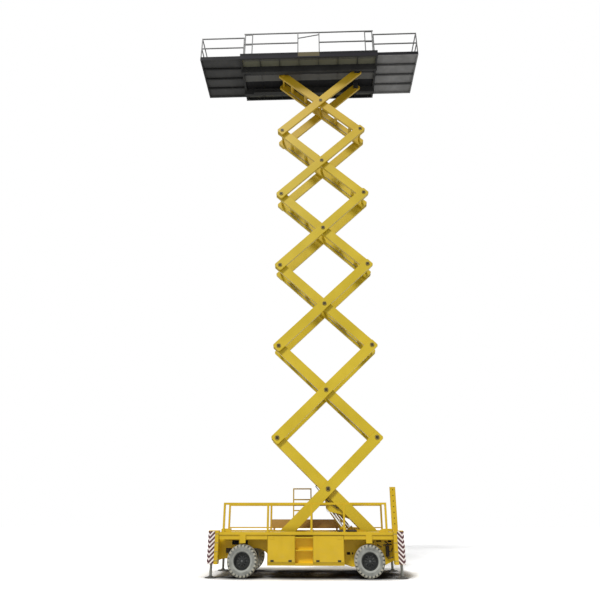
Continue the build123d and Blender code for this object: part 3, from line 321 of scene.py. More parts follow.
class Nodes:
    """A node tree that expressions on its numbers, colours and vectors fill."""

    def __init__(self, tree):
        self.tree = tree

    def add(self, kind, settings=None, feeds=None, output=0):
        """A node of a type: its settings first, then the values or links of its sockets."""
        node = self.tree.nodes.new(kind)
        for name, value in (settings or {}).items():
            setattr(node, name, value)
        for socket, value in (feeds or {}).items():
            self.feed(node.inputs[socket], value)
        return None if output is None else Number(self, node.outputs[output])

    def feed(self, socket, value):
        """Links a number to a socket, or sets the socket to a plain value."""
        if isinstance(value, Number):
            self.tree.links.new(value.socket, socket)
        elif socket.type == "RGBA":
            socket.default_value = (*tuple(value)[:3], 1.0)
        else:
            socket.default_value = value

    def mix(self, share, low, high):
        """A colour between two: low where share is 0 and high where it is 1."""
        return self.add("ShaderNodeMix", {"data_type": "RGBA"}, {0: share, 6: low, 7: high}, 2)

    def coated(self, base, *coats):
        """A colour under coats of (share, colour), laid on one after the other."""
        return reduce(lambda under, coat: self.mix(coat[0], under, coat[1]), coats, base)

    def clouded(self, cloud, low, high, colour, deep, pale):
        """A colour times deep where the cloud is under low, and times pale where it is over high."""
        return self.mix(cloud.between(low, high), tint(colour, deep), tint(colour, pale))

    def split(self, vector):
        """The x, y and z of a vector."""
        parts = self.add("ShaderNodeSeparateXYZ", None, {0: vector}).socket.node
        return tuple(Number(self, parts.outputs[n]) for n in range(3))

    def place(self):
        """x, y and z in the object's own coordinates, which are metres in the part's frame."""
        return self.split(self.add("ShaderNodeTexCoord", output="Object"))

    def facing(self):
        """The x, y and z of the surface's direction in the object's own coordinates."""
        return self.split(self.add("ShaderNodeTexCoord", output="Normal"))

    def noise(self, scale, detail=3.0, stretch=None):
        """Cloudy noise from 0 to 1, so many times a metre, stretched by a vector where one is given."""
        spot = self.add("ShaderNodeTexCoord", output="Object")
        if stretch:
            spot = self.add("ShaderNodeVectorMath", {"operation": "MULTIPLY"}, {0: spot, 1: stretch})
        feeds = {"Vector": spot, "Scale": scale, "Detail": detail, "Roughness": 0.55}
        return self.add("ShaderNodeTexNoise", None, feeds)


class Finish(Nodes):
    """One material: a Principled shader whose plain values are set on its own sockets."""

    def __init__(self, name, **plain):
        self.material = bpy.data.materials.new(name)
        self.material.use_nodes = True
        super().__init__(self.material.node_tree)
        self.shader = self.tree.nodes["Principled BSDF"]
        self.set(**plain)

    def set(self, **feeds):
        """Feeds the shader's sockets, named with underscores for blanks, and returns the material."""
        for socket, value in feeds.items():
            self.feed(self.shader.inputs[socket.replace("_", " ")], value)
        return self.material

    def bump(self, height, distance, normal=None):
        """The surface's direction over a relief, which stands on another direction where one is given."""
        feeds = {"Height": height, "Distance": distance}
        if normal is not None:
            feeds["Normal"] = normal
        return self.add("ShaderNodeBump", None, feeds)

    def soft_edge(self, radius):
        """The surface's direction with its edges rounded."""
        return self.add("ShaderNodeBevel", {"samples": 4}, {"Radius": radius})

    def edge(self, radius):
        """1 on edges and 0 on flats: one minus the cosine between the rounded and the true direction."""
        ways = {0: self.soft_edge(radius), 1: self.add("ShaderNodeNewGeometry", output="Normal")}
        cosine = self.add("ShaderNodeVectorMath", {"operation": "DOT_PRODUCT"}, ways, "Value")
        return (1 - cosine).between(0.02, 0.2)

    def chips(self, radius, scale, low=0.55, high=0.63):
        """1 where paint has come off the edges, in spots of noise between low and high."""
        return self.edge(radius) * self.noise(scale, 4.0).between(low, high)


# ---------------------------------------------------------------- settings

def colour_property(name, description, default, most=1.0):
    """A colour that a user can change."""
    return FloatVectorProperty(
        name=name, description=description, subtype="COLOR", size=3, default=default, min=0.0, max=most,
    )


def place_property(name, description, default):
    """A place in metres that a user can change."""
    return FloatVectorProperty(
        name=name, description=description, subtype="TRANSLATION", unit="LENGTH", size=3, default=default,
    )


def share_property(name, description, default):
    """A share from 0 to 1 that a user can change."""
    return FloatProperty(
        name=name, description=description, default=default, min=0.0, max=1.0, subtype="FACTOR",
    )


def number_property(name, description, default, least, most):
    """A plain number that a user can change."""
    return FloatProperty(name=name, description=description, default=default, min=least, max=most)


def angle_property(name, description, default):
    """An angle in radians that a user can change."""
    return FloatProperty(name=name, description=description, default=default, subtype="ANGLE")


def length_property(name, description, default, least, most):
    """A length in metres that a user can change."""
    return FloatProperty(
        name=name, description=description, default=default, min=least, max=most, unit="LENGTH",
    )


class PaintSettings(bpy.types.PropertyGroup):
    """Colours and wear of the painted steel, with painted light in the recesses and painted shade on the
    far walkway's beam.
    """
    arm_colour: colour_property("Arm colour", "Paint of the scissor arms", (0.60, 0.44, 0.018))
    high_colour: colour_property(
        "Upper arm colour", "Older, browner paint of the topmost arms", (0.50, 0.29, 0.012),
    )
    body_colour: colour_property(
        "Chassis colour", "Paint of the chassis, cabinets and guard frames", (0.62, 0.41, 0.010),
    )
    # painted light: a brighter, warmer yellow that lifts the shade of the girders and the step bay
    recess_fill_light_colour: colour_property(
        "Recess colour", "Warmer yellow of the girders and the step bay", (0.84, 0.565, 0.013),
    )
    # painted shade: the far walkway's beam is the chassis's yellow, painted browner and darker for the
    # shade it stands in
    board_shade_colour: colour_property("Beam colour", "Paint of the far walkway's beam", (0.42, 0.24, 0.05))
    wear: share_property("Chips", "How much paint has chipped off the edges", 0.7)
    dust: share_property("Dust", "How much dust lies low on the chassis", 0.15)
    grime: share_property("Streaks", "How strong the rain streaks are", 0.14)


class PlatformSettings(bpy.types.PropertyGroup):
    """Colours of the platform, with painted light on the right extension."""
    steel_colour: colour_property(
        "Underside colour", "Dark grey paint of the platform's steel", (0.042, 0.042, 0.041),
    )
    panel_colour: colour_property(
        "Panel colour", "Olive grey panels between the near edge's ribs", (0.165, 0.165, 0.120),
    )
    right_deck_lit_colour: colour_property(
        # painted light: the right extension's underside is painted paler for the light that falls on it
        "Right deck colour", "Paler grey of the right extension", (0.245, 0.245, 0.242),
    )
    fascia_colour: colour_property(
        "Fascia colour", "Dark grey of the edge beams' faces", (0.014, 0.013, 0.017),
    )
    rail_colour: colour_property("Rail colour", "Grey of the guard rails", (0.085, 0.085, 0.082))
    band_colour: colour_property("Band colour", "Black band along the edge beams", (0.008, 0.008, 0.009))
    sill_colour: colour_property("Sill colour", "Khaki sill under the gate", (0.13, 0.11, 0.06))
    band_height: length_property("Band height", "Height of the black band", 0.14, 0.0, 0.3)
    tread_pitch: length_property("Tread pitch", "Spacing of the floor's raised bars", 0.045, 0.02, 0.2)


class WheelSettings(bpy.types.PropertyGroup):
    """The tyres' tread, colours and painted highlight, and the wheel nuts."""
    tyre_colour: colour_property("Tyre colour", "Dusty grey rubber", (0.25, 0.255, 0.230))
    # painted highlight: the lugs' tops are painted pale for the light that catches them
    lug_highlight_colour: colour_property("Lug colour", "Pale dry mud on the lugs' tops", (0.42, 0.40, 0.32))
    rim_colour: colour_property("Rim colour", "Dark paint of the rims", (0.016, 0.018, 0.017))
    lugs: IntProperty(name="Lugs", description="Tread lugs in each of two rows", default=24, min=6, max=40)
    lug_height: length_property("Lug height", "Depth of the tread", 0.024, 0.0, 0.03)
    lug_width: length_property("Lug width", "Width of a lug across its length", 0.056, 0.01, 0.12)
    nuts: IntProperty(name="Wheel nuts", description="Nuts on each wheel", default=10, min=3, max=16)


class FittingSettings(bpy.types.PropertyGroup):
    """Bolts, pipes, collars and the striped plates."""
    bolt_size: length_property("Bolt size", "Across the flats of the larger bolts", 0.030, 0.01, 0.06)
    pipe_radius: length_property("Pipe radius", "Of the pipes along the inner arms", 0.009, 0.004, 0.02)
    steel_colour: colour_property("Bare steel colour", "Bolts and jack legs", (0.25, 0.25, 0.225))
    collar_colour: colour_property(
        "Collar colour", "Greased steel of the collars round the arms' pins", (0.21, 0.155, 0.050),
    )
    stripe_colour: colour_property("Stripe colour", "Red stripes of the jack plates", (0.055, 0.003, 0.006))
    stripe_pitch: length_property("Stripe pitch", "Height from one stripe to the next", 0.130, 0.03, 0.5)


class StageSettings(bpy.types.PropertyGroup):
    """The camera, the floor and the light."""
    camera: place_property("Camera", "Where the camera stands", (0.182, -18.154, 1.712))
    pitch: angle_property("Pitch", "How far the camera looks up", 0.392)
    yaw: angle_property("Yaw", "How far the camera looks left", 0.033)
    lens: number_property("Lens", "Focal length on a 36 mm sensor", 31.15, 10.0, 200.0)
    floor_colour: colour_property("Floor colour", "Pale floor", (0.62, 0.62, 0.62))
    seen_floor: colour_property(
        "Seen floor colour", "Colour that the camera and metal see the floor in", (1.30, 1.30, 1.30), 2.0,
    )
    # painted shadow: the floor is painted this dark, to the camera, close under the machine
    shadow_colour: colour_property(
        "Covered floor colour", "Colour of the floor close under the machine", (0.02, 0.02, 0.022),
    )
    sky: number_property("Fill", "Strength of the even light from all round", 0.45, 0.0, 3.0)
    key: number_property("Key", "Strength of the soft main light", 2.45, 0.0, 20.0)
    key_place: place_property("Key place", "Where the main light comes from", (-7.0, -17.0, 30.0))


# ---------------------------------------------------------------- finishes

RUST = (0.16, 0.07, 0.03)
DRY_DUST = (0.34, 0.29, 0.22)
LATCH_BLACK = (0.012, 0.012, 0.012)
PIN_GREY = (0.10, 0.10, 0.095)
PIN_BROWN = (0.040, 0.032, 0.012)
PRIMER = (0.30, 0.29, 0.27)
PLAIN_PAINTS = {  # the small fittings' colours and roughness
    "nut_grey": ((0.075, 0.078, 0.075), 0.45),
    "greased_steel": ((0.060, 0.045, 0.020), 0.45),
    "pipe_black": ((0.016, 0.016, 0.017), 0.35),
    "conduit_grey": ((0.34, 0.34, 0.32), 0.45),
    # near-black that stands in for the shade behind openings and inside the guide post: painted shade
    "painted_shade_black": ((0.006, 0.005, 0.004), 0.85),
    # oily steel of the manifold blocks, also laid on two thin strips of painted shade
    "oily_steel_and_shade": ((0.030, 0.020, 0.012), 0.5),
    "filter_white": ((0.55, 0.55, 0.52), 0.4),
}


def set_material(names, material):
    """Gives CAD nodes their finish."""
    for name in names:
        mesh = NODES[name].data
        mesh.materials.clear()
        mesh.materials.append(material)


def worn_paint(finish, colour, settings, dust_top=1.4):
    """Sun-faded paint on steel: cloudy fading, rain streaks, chips on the edges and dust low down."""
    z = finish.place()[2]
    fade = finish.noise(0.9, 4.0)
    streak = finish.noise(3.0, 5.0, (1.0, 1.0, 0.12)).between(0.52, 0.75) * settings.grime
    pale = tuple(min(1.0, part * 1.04 + 0.008) for part in colour)
    soiled = tuple(part * by for part, by in zip(colour, (0.7, 0.6, 0.5)))
    chips = finish.chips(0.007, 22.0, 0.56, 0.64) * settings.wear
    low = (dust_top - z).between(0.0, dust_top) * finish.noise(5.0, 5.0).between(0.35, 0.8) * settings.dust
    base = finish.mix(fade.between(0.3, 0.75), tint(colour, 0.90), pale)
    base = finish.coated(base, (streak, soiled), (chips, RUST), (low, DRY_DUST))
    rough = 0.30 + 0.18 * fade + 0.35 * low.higher(chips)
    relief = finish.noise(60.0, 2.0) * 0.5 + chips * -1.0
    return base, rough, finish.bump(relief, 0.0006, finish.soft_edge(0.005))


def chequer(finish, pitch):
    """Raised bars of a tread plate: two crossed rows of short ridges, sin(u) sin(v) above a level."""
    x, y = finish.place()[:2]
    u, v = (x + y) * (math.pi / pitch), (x - y) * (math.pi / pitch)
    first = (u.wave() * (v * 0.5).wave()).between(0.45, 0.75)
    second = (v.wave() * (u * 0.5).wave()).between(0.45, 0.75)
    return first.higher(second)


def rubber_finish(settings):
    """Dusty grey rubber: rings on the sidewall, a painted highlight on the lug tops and painted shade in
    the grooves.
    """
    rubber = Finish("tyre_rubber", IOR=1.45)
    x, _, z = rubber.place()
    radius = (abs(x - CHASSIS_X) - WHEELBASE / 2).hypotenuse(z - AXLE_Z)
    dust = rubber.noise(7.0, 6.0)
    lug = rubber.add("ShaderNodeAttribute", {"attribute_name": "mark"}, output="Fac")
    shoulder, bead, ringed = (0.355, 0.415), (0.250, 0.296), (0.318, 0.372)
    # painted shade in the grooves between the lugs on the shoulder
    groove_shade = radius.between(*shoulder) * (1 - lug)
    base = rubber.coated(
        rubber.clouded(dust, 0.3, 0.75, settings.tyre_colour, 0.70, 1.25),
        (groove_shade * 0.75, tint(settings.tyre_colour, 0.25)),
        (radius.inside(*bead) * 0.5, tint(settings.tyre_colour, 1.7)),
        # painted highlight on the lugs' tops, broken up by the dust noise
        (lug.between(0.45, 0.95) * (0.55 + 0.4 * dust), settings.lug_highlight_colour),
    )
    rings = (radius * 420.0).wave() * radius.inside(*ringed)
    normal = rubber.bump(rings, 0.0007, rubber.bump(rubber.noise(110.0, 3.0), 0.0008))
    return rubber.set(Base_Color=base, Roughness=0.72 + 0.2 * dust, Normal=normal)


def fitting_steel(context):
    """The bare steel of bolts and rods, made once."""
    material = bpy.data.materials.get("fitting_steel")
    if material:
        return material
    steel = Finish("fitting_steel", IOR=1.5)
    dull = steel.noise(40.0, 3.0)
    base = steel.clouded(dull, 0.35, 0.7, context.scene.lift_fittings.steel_colour, 0.55, 1.1)
    return steel.set(Base_Color=base, Roughness=0.30 + 0.3 * dull, Metallic=0.9)


def plain_paint(name):
    """A lightly clouded paint for small fittings, made once."""
    material = bpy.data.materials.get(name)
    if material:
        return material
    colour, roughness = PLAIN_PAINTS[name]
    paint = Finish(name, IOR=1.5)
    cloud = paint.noise(5.0, 4.0)
    base = paint.clouded(cloud, 0.3, 0.7, colour, 0.8, 1.1)
    return paint.set(Base_Color=base, Roughness=roughness + 0.2 * cloud)


# ---------------------------------------------------------------- painting the frame

class LIFT_OT_paint_chassis(bpy.types.Operator):
    """Paints the girders, decks, cabinets, guard frames, jack columns and lift barrels, with painted light
    in the recesses and painted shade on the far beam
    """
    bl_idname = "scissor_lift.paint_chassis"
    bl_label = "Chassis paint"

    def execute(self, context):
        paint = context.scene.lift_paint
        body = Finish("chassis_paint", IOR=1.5, Specular_IOR_Level=0.3)
        base, rough, normal = worn_paint(body, paint.body_colour, paint)
        x, y, z = body.place()
        side = abs(y)
        cabinet, bottom, top = abs(POD[0][1]), POD[0][2], POD[1][2]
        # painted light: parts set in from the cabinets' faces, below their tops, get a brighter yellow
        # against their shade
        recess_fill_light = (side < cabinet - 0.03) * (z < top)
        # the latches stand proud of the doors, outside the cabinets' faces
        latch = side.inside(cabinet + 0.0008, cabinet + 0.02) * (z < bottom + 0.17)
        pins = reduce(Number.higher, (
            (x - pin[0]).hypotenuse(z - pin[2]) < PIN_RADIUS + 0.0005
            for pin in (LOWER_PIN, *ROD_FOOT.values())
        )) * (side < INNER_Y[1] + 0.1)
        base = body.coated(
            base, (recess_fill_light * 0.85, paint.recess_fill_light_colour), (latch, LATCH_BLACK), (pins, PIN_GREY),
        )
        tread = chequer(body, 0.045) * (body.facing()[2] > 0.8) * z.inside(1.15, 1.25)
        normal = body.bump(tread, 0.0022, normal)
        body.set(Base_Color=base, Roughness=rough, Normal=normal, Metallic=pins * 0.8)
        set_material(
            (
                "main_frame", "side_girders", "base_tracks", "cross_beams", "arm_pivots", "cylinder_mounts",
                "upper_deck", "guard_frames", "access_ladder", "jack_columns", "guide_post", "near_cabinet",
                "far_cabinet", "near_lift_barrel", "far_lift_barrel", *(f"{name}_door" for name in WHEELS),
            ),
            body.material,
        )
        # painted shade: the far beam is painted browner for the shade it stands in
        board = Finish("walkway_beam_shaded_paint", IOR=1.5)
        base, rough, normal = worn_paint(board, paint.board_shade_colour, paint)
        board.set(Base_Color=base, Roughness=rough, Normal=normal)
        set_material(("side_board",), board.material)
        return {"FINISHED"}


class LIFT_OT_paint_arms(bpy.types.Operator):
    """Paints the scissor arms, with dark pins in greased collars"""
    bl_idname = "scissor_lift.paint_arms"
    bl_label = "Arm paint"

    def execute(self, context):
        paint, fittings = context.scene.lift_paint, context.scene.lift_fittings
        arm = Finish("arm_paint", IOR=1.5, Specular_IOR_Level=0.3)
        base, rough, normal = worn_paint(arm, paint.arm_colour, paint, 0.5)
        x, y, z = arm.place()
        # distance to the nearest pin's axis, which repeats with each level's rise
        reach = reduce(Number.lower, (
            (x - at).hypotenuse((z - float(LOWER_PIN[2] + lift - RISE / 2)) % RISE - RISE / 2)
            for at, lift in ((LOWER_PIN[0], 0.0), (LEFT_PIN_X, 0.0), (CENTRE_PIN[0], RISE / 2))
        ))
        outside = abs(y) > OUTER_FACE + 0.0005
        collar, pin = ((reach < radius) * outside for radius in (COLLAR_RADIUS, PIN_HEAD_RADIUS))
        base = arm.coated(
            base, (z.between(13.0, 20.5) * 0.65, paint.high_colour),
            (collar * 0.75, fittings.collar_colour), (pin, PIN_BROWN),
        )
        arm.set(Base_Color=base, Roughness=rough, Normal=normal, Metallic=pin * 0.3)
        names = [f"{kind}_arm_{level + 1}" for kind in ("inner", "outer") for level in range(LEVELS)]
        set_material(names, arm.material)
        return {"FINISHED"}


class LIFT_OT_paint_platform(bpy.types.Operator):
    """Paints the platform's steel, its band, its sill, its floors and its rails, with painted shade between
    its long beams and painted light on the right extension
    """
    bl_idname = "scissor_lift.paint_platform"
    bl_label = "Platform paint"

    def execute(self, context):
        platform = context.scene.lift_platform
        # the second and fourth entries are painted shade between the long beams; the others are the panels'
        # own tones
        panel_and_shade_bands = (  # from y, to y and colour of the panels between the long beams
            (-1.17, -0.69, platform.panel_colour), (-0.69, -0.20, (0.030, 0.030, 0.031)),
            (-0.20, 0.17, (0.125, 0.125, 0.118)), (0.17, 0.83, (0.016, 0.016, 0.017)),
            (0.83, 1.12, (0.110, 0.112, 0.098)),
        )
        ribs = (-0.5675, 0.0, 0.5675)
        self.paint_deck("platform_frame", platform, platform.steel_colour, panel_and_shade_bands, ())
        self.paint_deck("left_extension_deck", platform, tint(platform.steel_colour, 1.6), (), ribs)
        # painted light: the right extension gets a paler grey than the left
        self.paint_deck("right_extension_deck", platform, platform.right_deck_lit_colour, (), ribs)
        rail = Finish("rail_paint", IOR=1.45)
        cloud = rail.noise(4.0, 4.0)
        base = rail.clouded(cloud, 0.3, 0.7, platform.rail_colour, 0.8, 1.2)
        chips = rail.chips(0.005, 30.0) * 0.7
        x, y, z = rail.place()
        sleeve = abs(x).inside(SLEEVED[2] - SLEEVE_HALF, SLEEVED[3] + SLEEVE_HALF)
        sleeve = sleeve * abs(y).inside(1.19, 1.2095) * (z > MAIN_DECK[1][2] + 0.2)
        base = rail.coated(base, (chips, PRIMER), (sleeve, platform.band_colour))
        rail.set(Base_Color=base, Roughness=0.4 + 0.2 * cloud, Normal=rail.soft_edge(0.006))
        names = "main_rails", "left_extension_rails", "right_extension_rails", "gate_bar"
        set_material(names, rail.material)
        return {"FINISHED"}

    def paint_deck(self, name, platform, colour, panel_and_shade_bands, ribs):
        """Clouded steel with a black band on its edge, rows of panels seen from below with painted shade
        among them, and darker ribs.
        """
        deck = Finish(f"{name}_paint", IOR=1.45, Specular_IOR_Level=0.08)
        x, y, z = deck.place()
        up = deck.facing()[2]
        cloud = deck.noise(1.3, 4.0)
        scuff = deck.noise(9.0, 5.0, (1.0, 0.25, 1.0))
        top = MAIN_DECK[1][2]
        panel = (up < -0.5) * (z > TOP_PIN_Z + 0.20)
        ragged = y + (cloud - 0.5) * 0.06
        edge = abs(y) > 1.12  # the edge beams
        sill = (y < -1.235) * (abs(x) < GATE_X) * (z > top - 0.24)
        floor = (up > 0.8) * (z > top - 0.2) * (abs(y) < 1.23)
        chips = deck.chips(0.006, 25.0) * 0.5
        base = deck.coated(
            deck.clouded(cloud, 0.3, 0.75, colour, 0.8, 1.15),
            *((panel * ragged.inside(near, far), tone) for near, far, tone in panel_and_shade_bands),
            *(((up < 0.5) * (abs(y - rib) < 0.031), tint(colour, 0.30)) for rib in ribs),
            (scuff.between(0.55, 0.8) * 0.22, tint(colour, 1.9)),
            (edge * up.inside(-0.5, 0.5), platform.fascia_colour),
            ((z > top - platform.band_height) * edge, platform.band_colour),
            (sill, platform.sill_colour),
            (floor, (0.20, 0.20, 0.195)),
            (chips, (0.17, 0.15, 0.13)),
        )
        tread = chequer(deck, platform.tread_pitch) * floor
        normal = deck.bump(tread, 0.002, deck.soft_edge(0.004))
        rough = 0.45 + 0.2 * cloud + 0.15 * chips
        deck.set(Base_Color=base, Roughness=rough, Normal=normal, Metallic=floor * 0.7)
        set_material((name,), deck.material)


class LIFT_OT_finish_steel(bpy.types.Operator):
    """Finishes the jack legs, lift rods, axles, knuckles, rims and the engine"""
    bl_idname = "scissor_lift.finish_steel"
    bl_label = "Steel and rims"

    def execute(self, context):
        leg = Finish("jack_steel", IOR=1.5)
        streak = leg.noise(20.0, 4.0, (1.0, 1.0, 0.1))
        base = leg.clouded(streak, 0.35, 0.75, context.scene.lift_fittings.steel_colour, 0.7, 1.0)
        foot = leg.place()[2] < 0.066
        base = leg.mix(foot * 0.85, base, (0.05, 0.046, 0.04))
        leg.set(
            Base_Color=base, Roughness=0.35 + 0.25 * streak + 0.2 * foot, Metallic=0.8 - 0.5 * foot,
            Normal=leg.bump(streak, 0.0004, leg.soft_edge(0.004)),
        )
        set_material([f"{name}_jack_leg" for name in WHEELS], leg.material)

        rod = Finish("rod_chrome", Metallic=1.0, IOR=1.5)
        smear = rod.noise(14.0, 3.0, (1.0, 1.0, 0.3))
        base = rod.mix(smear.between(0.4, 0.8), (0.78, 0.79, 0.80), (0.62, 0.60, 0.56))
        rod.set(Base_Color=base, Roughness=0.10 + 0.14 * smear)
        set_material(("near_lift_rod", "far_lift_rod"), rod.material)

        cast = Finish("cast_dark", IOR=1.45)
        grease = cast.noise(4.0, 4.0)
        base = cast.mix(grease.between(0.4, 0.7), (0.030, 0.027, 0.022), (0.085, 0.075, 0.06))
        cast.set(
            Base_Color=base, Roughness=0.45 + 0.35 * grease, Metallic=0.35,
            Normal=cast.bump(cast.noise(90.0, 3.0), 0.0012, cast.soft_edge(0.008)),
        )
        names = "left_axle", "right_axle", "near_knuckle", "far_knuckle", "engine_block"
        set_material(names, cast.material)

        rim = Finish("rim_paint", IOR=1.5, Specular_IOR_Level=0.25)
        dirt = rim.noise(12.0, 5.0)
        rim_colour = context.scene.lift_wheels.rim_colour
        rim.set(
            Base_Color=rim.mix(dirt.between(0.45, 0.75) * 0.4, rim_colour, (0.07, 0.068, 0.06)),
            Roughness=0.38 + 0.3 * dirt,
            Normal=rim.bump(rim.noise(70.0, 2.0), 0.0005, rim.soft_edge(0.005)),
        )
        set_material([f"{name}_rim" for name in WHEELS], rim.material)
        return {"FINISHED"}


class LIFT_OT_stripe_plates(bpy.types.Operator):
    """Paints red and white chevrons on the plates of the jack columns"""
    bl_idname = "scissor_lift.stripe_plates"
    bl_label = "Striped plates"

    def execute(self, context):
        fittings = context.scene.lift_fittings
        plate = Finish("plate_stripes", IOR=1.5, Coat_Weight=0.3, Coat_Roughness=0.1)
        x, _, z = plate.place()
        middle = (PLATES[1][0] - PLATES[0][0]) / 2 - 0.056  # the stripes meet nearer to the machine's end
        across = abs(abs(x - CHASSIS_X) - middle)
        red = (((z - across) / fittings.stripe_pitch) % 1.0).inside(0.0, 0.57)
        wear = plate.noise(25.0, 5.0)
        base = plate.coated(
            (0.80, 0.73, 0.69), (red, fittings.stripe_colour),
            (wear.between(0.58, 0.8) * 0.35, (0.30, 0.24, 0.15)),
        )
        plate.set(Base_Color=base, Roughness=0.3 + 0.3 * wear, Normal=plate.soft_edge(0.002))
        set_material(("warning_plates",), plate.material)
        return {"FINISHED"}


# ---------------------------------------------------------------- new pieces

# Profiles of turned parts, as radius and height in metres.
HUB_CAP = ((0, 0), (0.030, 0), (0.030, 0.010), (0.024, 0.014), (0, 0.016))
RIM_LINING = ((0, -0.024), (0.196, -0.024), (0.196, -0.040), (0.190, -0.046), (0, -0.046))
VALVE = ((0, 0), (0.007, 0), (0.007, 0.018), (0.0045, 0.020), (0.0045, 0.040), (0, 0.040))
NIPPLE = ((0, 0), (0.012, 0), (0.012, 0.004), (0.006, 0.006), (0.006, 0.012), (0.0035, 0.016), (0, 0.016))
HOSE_PORT = ((0, 0), (0.020, 0), (0.020, 0.016), (0.013, 0.020), (0.013, 0.040), (0, 0.040))
STEER_BARREL = (
    (0, -0.26), (0.040, -0.26), (0.046, -0.254), (0.046, -0.225), (0.040, -0.220), (0.040, 0.220),
    (0.046, 0.225), (0.046, 0.254), (0.040, 0.26), (0, 0.26),
)
STEER_ROD = ((0, 0.25), (0.014, 0.25), (0.014, 0.40), (0, 0.40))
ROD_HEAD = ((0, 0.385), (0.024, 0.385), (0.028, 0.395), (0.028, 0.425), (0, 0.430))
AXLE_COVER = (
    (0, 0), (0.112, 0), (0.112, 0.012), (0.075, 0.016), (0.070, 0.040), (0.050, 0.048), (0, 0.048),
)
KNUCKLE_EYE = ((0, -0.020), (0.026, -0.020), (0.030, -0.016), (0.030, 0.016), (0.026, 0.020), (0, 0.020))
OIL_FILTER = ((0, 0), (0.028, 0), (0.028, 0.006), (0.020, 0.008), (0, 0.008))
TYRE_SIDE = np.array((  # half a tyre's section, from the bead to the tread's middle: y and radius
    (0.125, 0.2415), (0.140, 0.250), (0.152, 0.266), (0.160, 0.288), (0.1635, 0.300), (0.1600, 0.312),
    (0.1625, 0.340), (0.1620, 0.366), (0.1560, 0.390), (0.1430, 0.409), (0.1200, 0.420), (0.0800, 0.4245),
    (0.0400, 0.4258), (0.0, 0.426),
))
TYRE_HALF_WIDTH = 0.1645

# Places from the middle between the axles, the machine's middle and the ground, in metres.
MANIFOLD_AND_SHADE_BARS = (  # start, end, width, height, up and edge
    ((-2.430, -0.66, 0.700), (-2.262, -0.66, 0.700), 0.09, 0.136, UP, 0.006),
    ((-2.350, -0.66, 0.600), (-2.350, -0.66, 0.660), 0.05, 0.09, ALONG_Y, 0.006),
    ((2.455, -0.752, 0.545), (2.455, -0.752, 0.835), 0.10, 0.075, ALONG_Y, 0.008),
    # the next two thin dark strips on the girder's face are painted shade
    ((2.150, -0.7045, 0.868), (2.285, -0.7045, 0.803), 0.008, 0.030, UP, 0.002),
    ((2.335, -0.7045, 0.856), (2.590, -0.7045, 0.884), 0.008, 0.034, UP, 0.002),
    ((0.960, -0.93, DECK_TOP + 0.028), (1.540, -0.93, DECK_TOP + 0.028), 0.08, 0.058, UP, 0.004),
)
MANIFOLD_PORTS = ((2.455, -0.788, 0.60), (2.455, -0.788, 0.69), (2.455, -0.788, 0.78))
MANIFOLD_HOSES = (  # points, radius and bend
    (((2.470, -0.76, 0.83), (2.470, -0.76, 0.92), (2.40, -0.74, 0.95), (2.39, -0.69, 0.95)), 0.013, 0.04),
    (((2.440, -0.78, 0.56), (2.455, -0.78, 0.505), (2.56, -0.78, 0.515), (2.66, -0.80, 0.56)), 0.013, 0.05),
    (((2.49, -0.79, 0.69), (2.55, -0.80, 0.68), (2.60, -0.80, 0.78), (2.66, -0.80, 0.80)), 0.011, 0.05),
)
# the guide post's near-black core is painted shade inside it
POST_CORE = ((2.673, -1.065, 1.30), (2.673, -1.065, 2.48))
# where the black sheets of painted shade stand behind the girders' openings
SHADE_SHEET_Y = 0.684
PIPE_RUN = (0.40, ARM_LENGTH / 2 - 0.30)  # along the lower half of an arm
UPPER_RUN = ARM_LENGTH / 2 - 0.10  # from the lower half's pipes to the upper half's
CLIP_INSET = 0.2
HOSE_Y = -0.34
FIRST_HOSE = (  # along the arm from its middle, and down from its underside
    (-0.62, -0.01), (-0.62, 0.05), (-0.22, 0.11), (0.34, 0.05), (0.34, -0.01),
)


def on_chassis(places):
    """Places given from the middle between the axles, moved into the part's frame."""
    return np.array(places) + CHASSIS_X * ALONG_X


